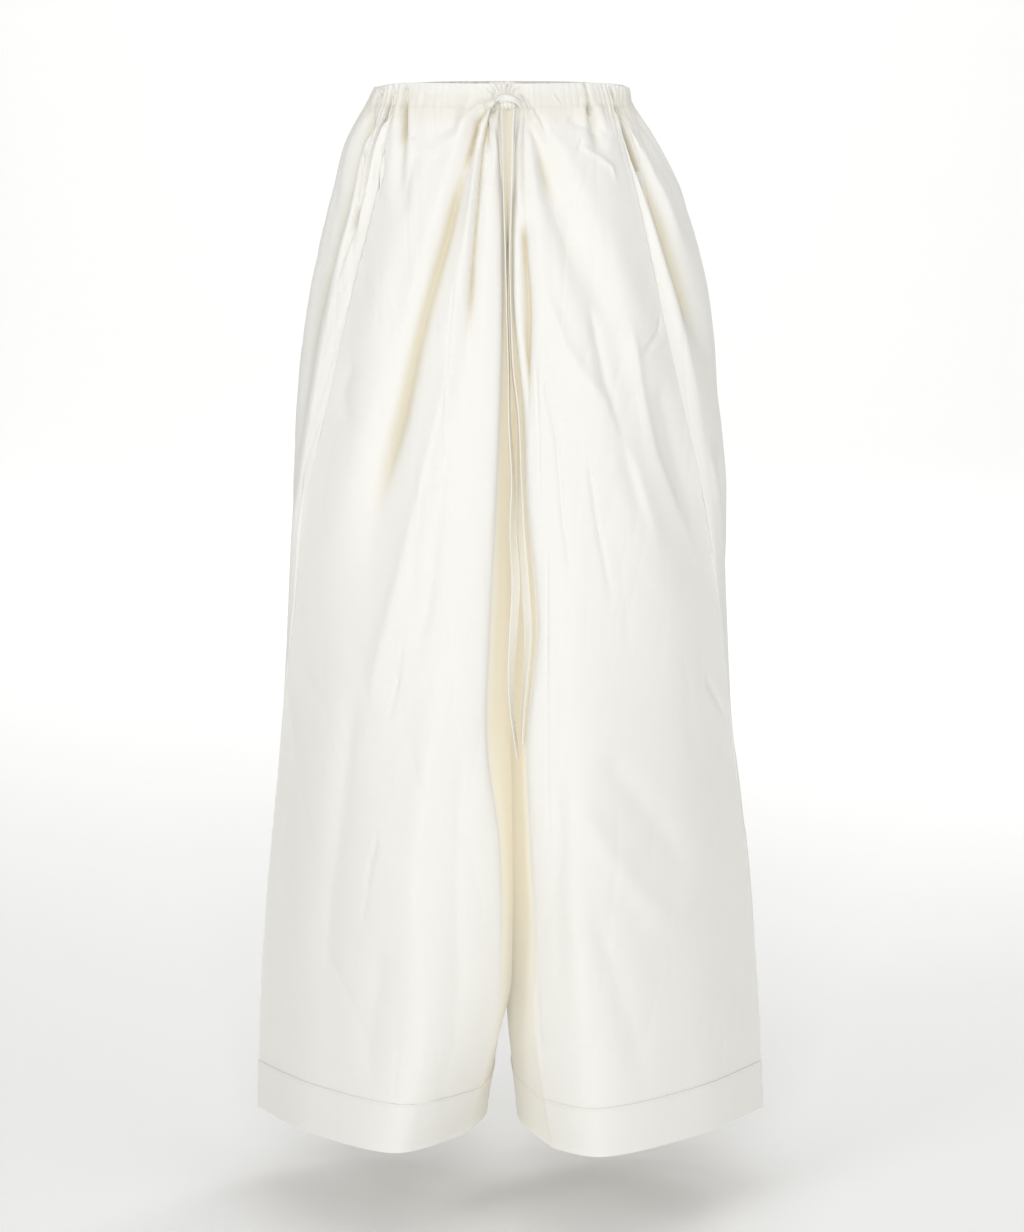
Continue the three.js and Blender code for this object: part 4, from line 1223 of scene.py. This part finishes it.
def one_stitch():
    """One sewing stitch lying along X, modelled once."""
    deselect()
    bpy.ops.mesh.primitive_cylinder_add(vertices=6, radius=STITCH_RADIUS, depth=STITCH_LENGTH,
                                        end_fill_type="NGON", location=(0, 0, 0),
                                        rotation=(0, math.radians(90), 0))
    stitch = bpy.context.object
    bpy.ops.object.transform_apply(location=False, rotation=True, scale=True)
    bpy.ops.object.mode_set(mode="EDIT")
    bpy.ops.mesh.select_all(action="SELECT")
    bpy.ops.mesh.subdivide(number_cuts=1)
    bpy.ops.object.mode_set(mode="OBJECT")
    mesh = stitch.data
    for vertex in mesh.vertices:
        vertex.co.z += 0.00022 * (1 - (vertex.co.x / (STITCH_LENGTH / 2)) ** 2) - 0.00012
    return stitch


def stitch_row(name, line, out, pitch):
    """Copies of one stitch along a line of points with outward directions, as one piece."""
    pattern = one_stitch()
    base = np.array([v.co[:] for v in pattern.data.vertices])
    faces = [tuple(p.vertices) for p in pattern.data.polygons]
    bpy.data.objects.remove(pattern, do_unlink=True)
    points, polygons = [], []
    gone = np.concatenate([[0], np.cumsum(np.linalg.norm(np.diff(line, axis=0), axis=-1))]) * MM

    def at(place, values):
        return np.array([np.interp(place, gone, values[:, k]) for k in range(3)])

    for middle in np.arange(pitch, gone[-1] - pitch / 2, pitch):
        here = at(middle, line) * MM
        along = unit(at(middle + pitch / 3, line) * MM - here)
        up = unit(at(middle, out))
        up = unit(up - along * np.dot(up, along))
        turn = np.stack([along, np.cross(up, along), up], 0)
        start = len(points) * len(base)
        points.append(here + base @ turn)
        polygons += [tuple(start + i for i in face) for face in faces]
    mesh = bpy.data.meshes.new(name)
    mesh.from_pydata(np.concatenate(points).tolist(), [], polygons)
    mesh.update()
    piece = bpy.data.objects.new(name, mesh)
    bpy.context.scene.collection.objects.link(piece)
    smooth(piece)
    finish_piece(piece, "sewing_thread", "band_cloth")


class TROUSERS_OT_stitching(bpy.types.Operator):
    """Add the rows of stitching at hems and casing"""

    bl_idname = "trousers.stitching"
    bl_label = "Stitching"

    def execute(self, context):
        s = sizes()
        depth = s.hem_depth / MM
        for side in SIDES:
            z = np.array([-LENGTH + depth - 2.2])
            low, high = leg_ring(side, z, 1.15)[0], leg_ring(side, z, 2.15)[0]
            stitch_row(f"hem_stitches_{side['name']}", low, high - low, s.stitch_pitch)
        z = np.array([-CASING_HEIGHT + 2.0])
        low, high = casing_ring(z, [0.55])[0], casing_ring(z, [1.55])[0]
        stitch_row("casing_stitches", low, high - low, s.stitch_pitch)
        return {"FINISHED"}


# The floor and the backdrop that it sweeps up into, in metres.
FLOOR_SIZE = 16
FLOOR_Z = -1.14
BACKDROP_HEIGHT = 7
SWEEP_RADIUS = 2.5
# Lamps: name, place, what it points at, width in metres and power in watts.
LAMPS = (
    ("front_softbox", (-0.1, -4.3, 0.55), (0, 0, -0.55), 1.2, 57.0),
    ("key_softbox", (-2.4, -2.6, 1.2), (0, 0, -0.5), 1.2, 19.0),
    ("fill_softbox", (2.6, -2.6, 0.0), (0, 0, -0.6), 1.8, 9.0),
    ("top_softbox", (0.2, -0.4, 2.6), (0, 0, -0.5), 2.0, 7.0),
    ("back_softbox", (1.9, 3.2, 1.5), (0, 0, -0.5), 1.3, 30.0),
    ("backdrop_light", (0, 3.4, 3.6), (0, 7.5, 0.0), 3.0, 150.0),
    ("floor_light", (0, -6.5, 3.6), (0, -2.0, -1.1), 3.0, 20.0),
)


def pick_far_edge(floor):
    """Selects the floor's edge furthest from the camera."""
    bpy.ops.object.mode_set(mode="EDIT")
    bpy.ops.mesh.select_all(action="DESELECT")
    bpy.ops.object.mode_set(mode="OBJECT")
    for edge in floor.data.edges:
        ends = [floor.data.vertices[i].co for i in edge.vertices]
        edge.select = all(end.y > FLOOR_SIZE / 2 - 0.01 and end.z < 0.01 for end in ends)
    bpy.ops.object.mode_set(mode="EDIT")
    bpy.ops.mesh.select_mode(type="EDGE")


class TROUSERS_OT_stage(bpy.types.Operator):
    """Add the pale floor, backdrop and soft studio light"""

    bl_idname = "trousers.stage"
    bl_label = "Studio"

    def execute(self, context):
        deselect()
        bpy.ops.mesh.primitive_plane_add(size=FLOOR_SIZE, location=(0, 0, FLOOR_Z))
        floor = context.object
        floor.name = "studio_sweep"
        pick_far_edge(floor)
        bpy.ops.mesh.extrude_region_move(TRANSFORM_OT_translate={"value": (0, 0, BACKDROP_HEIGHT)})
        pick_far_edge(floor)
        bpy.ops.mesh.bevel(offset=SWEEP_RADIUS, segments=16, profile=0.5)
        bpy.ops.object.mode_set(mode="OBJECT")
        bpy.ops.object.transform_apply(location=True, rotation=True, scale=True)
        smooth(floor)
        floor.data.materials.append(material("studio_floor"))

        world = bpy.data.worlds.new("studio_air")
        world.use_nodes = True
        air = world.node_tree.nodes["Background"].inputs
        air["Color"].default_value = (1.0, 0.995, 0.98, 1)
        air["Strength"].default_value = 0.48
        context.scene.world = world
        for name, place, target, width, power in LAMPS:
            aim = (Vector(target) - Vector(place)).to_track_quat("-Z", "Y").to_euler()
            bpy.ops.object.light_add(type="AREA", location=place, rotation=aim)
            lamp = context.object
            lamp.name = name
            lamp.data.shape = "SQUARE"
            lamp.data.size = width
            lamp.data.energy = power
        context.scene.view_settings.view_transform = "Standard"
        return {"FINISHED"}


class TROUSERS_PT_panel(bpy.types.Panel):
    """Lists the trousers' sizes and makers"""

    bl_label = "Trousers"
    bl_idname = "TROUSERS_PT_panel"
    bl_space_type = "VIEW_3D"
    bl_region_type = "UI"
    bl_category = "Trousers"

    def draw(self, context):
        s = context.scene.trouser_sizes
        for name in s.bl_rna.properties.keys():
            if name not in ("rna_type", "name"):
                self.layout.prop(s, name)
        for operator in OPERATORS:
            self.layout.operator(operator.bl_idname)


OPERATORS = (
    TROUSERS_OT_camera,
    TROUSERS_OT_ties,
    TROUSERS_OT_casing,
    TROUSERS_OT_fronts,
    TROUSERS_OT_backs,
    TROUSERS_OT_hems,
    TROUSERS_OT_facings,
    TROUSERS_OT_knot,
    TROUSERS_OT_stitching,
    TROUSERS_OT_stage,
)
CLASSES = (TrouserSizes, *OPERATORS, TROUSERS_PT_panel)


def register():
    for cls in CLASSES:
        bpy.utils.register_class(cls)
    bpy.types.Scene.trouser_sizes = bpy.props.PointerProperty(type=TrouserSizes)


def unregister():
    del bpy.types.Scene.trouser_sizes
    for cls in reversed(CLASSES):
        bpy.utils.unregister_class(cls)


def main():
    register()
    for operator in OPERATORS:
        group, name = operator.bl_idname.split(".")
        getattr(getattr(bpy.ops, group), name)()


if __name__ == "__main__":
    main()
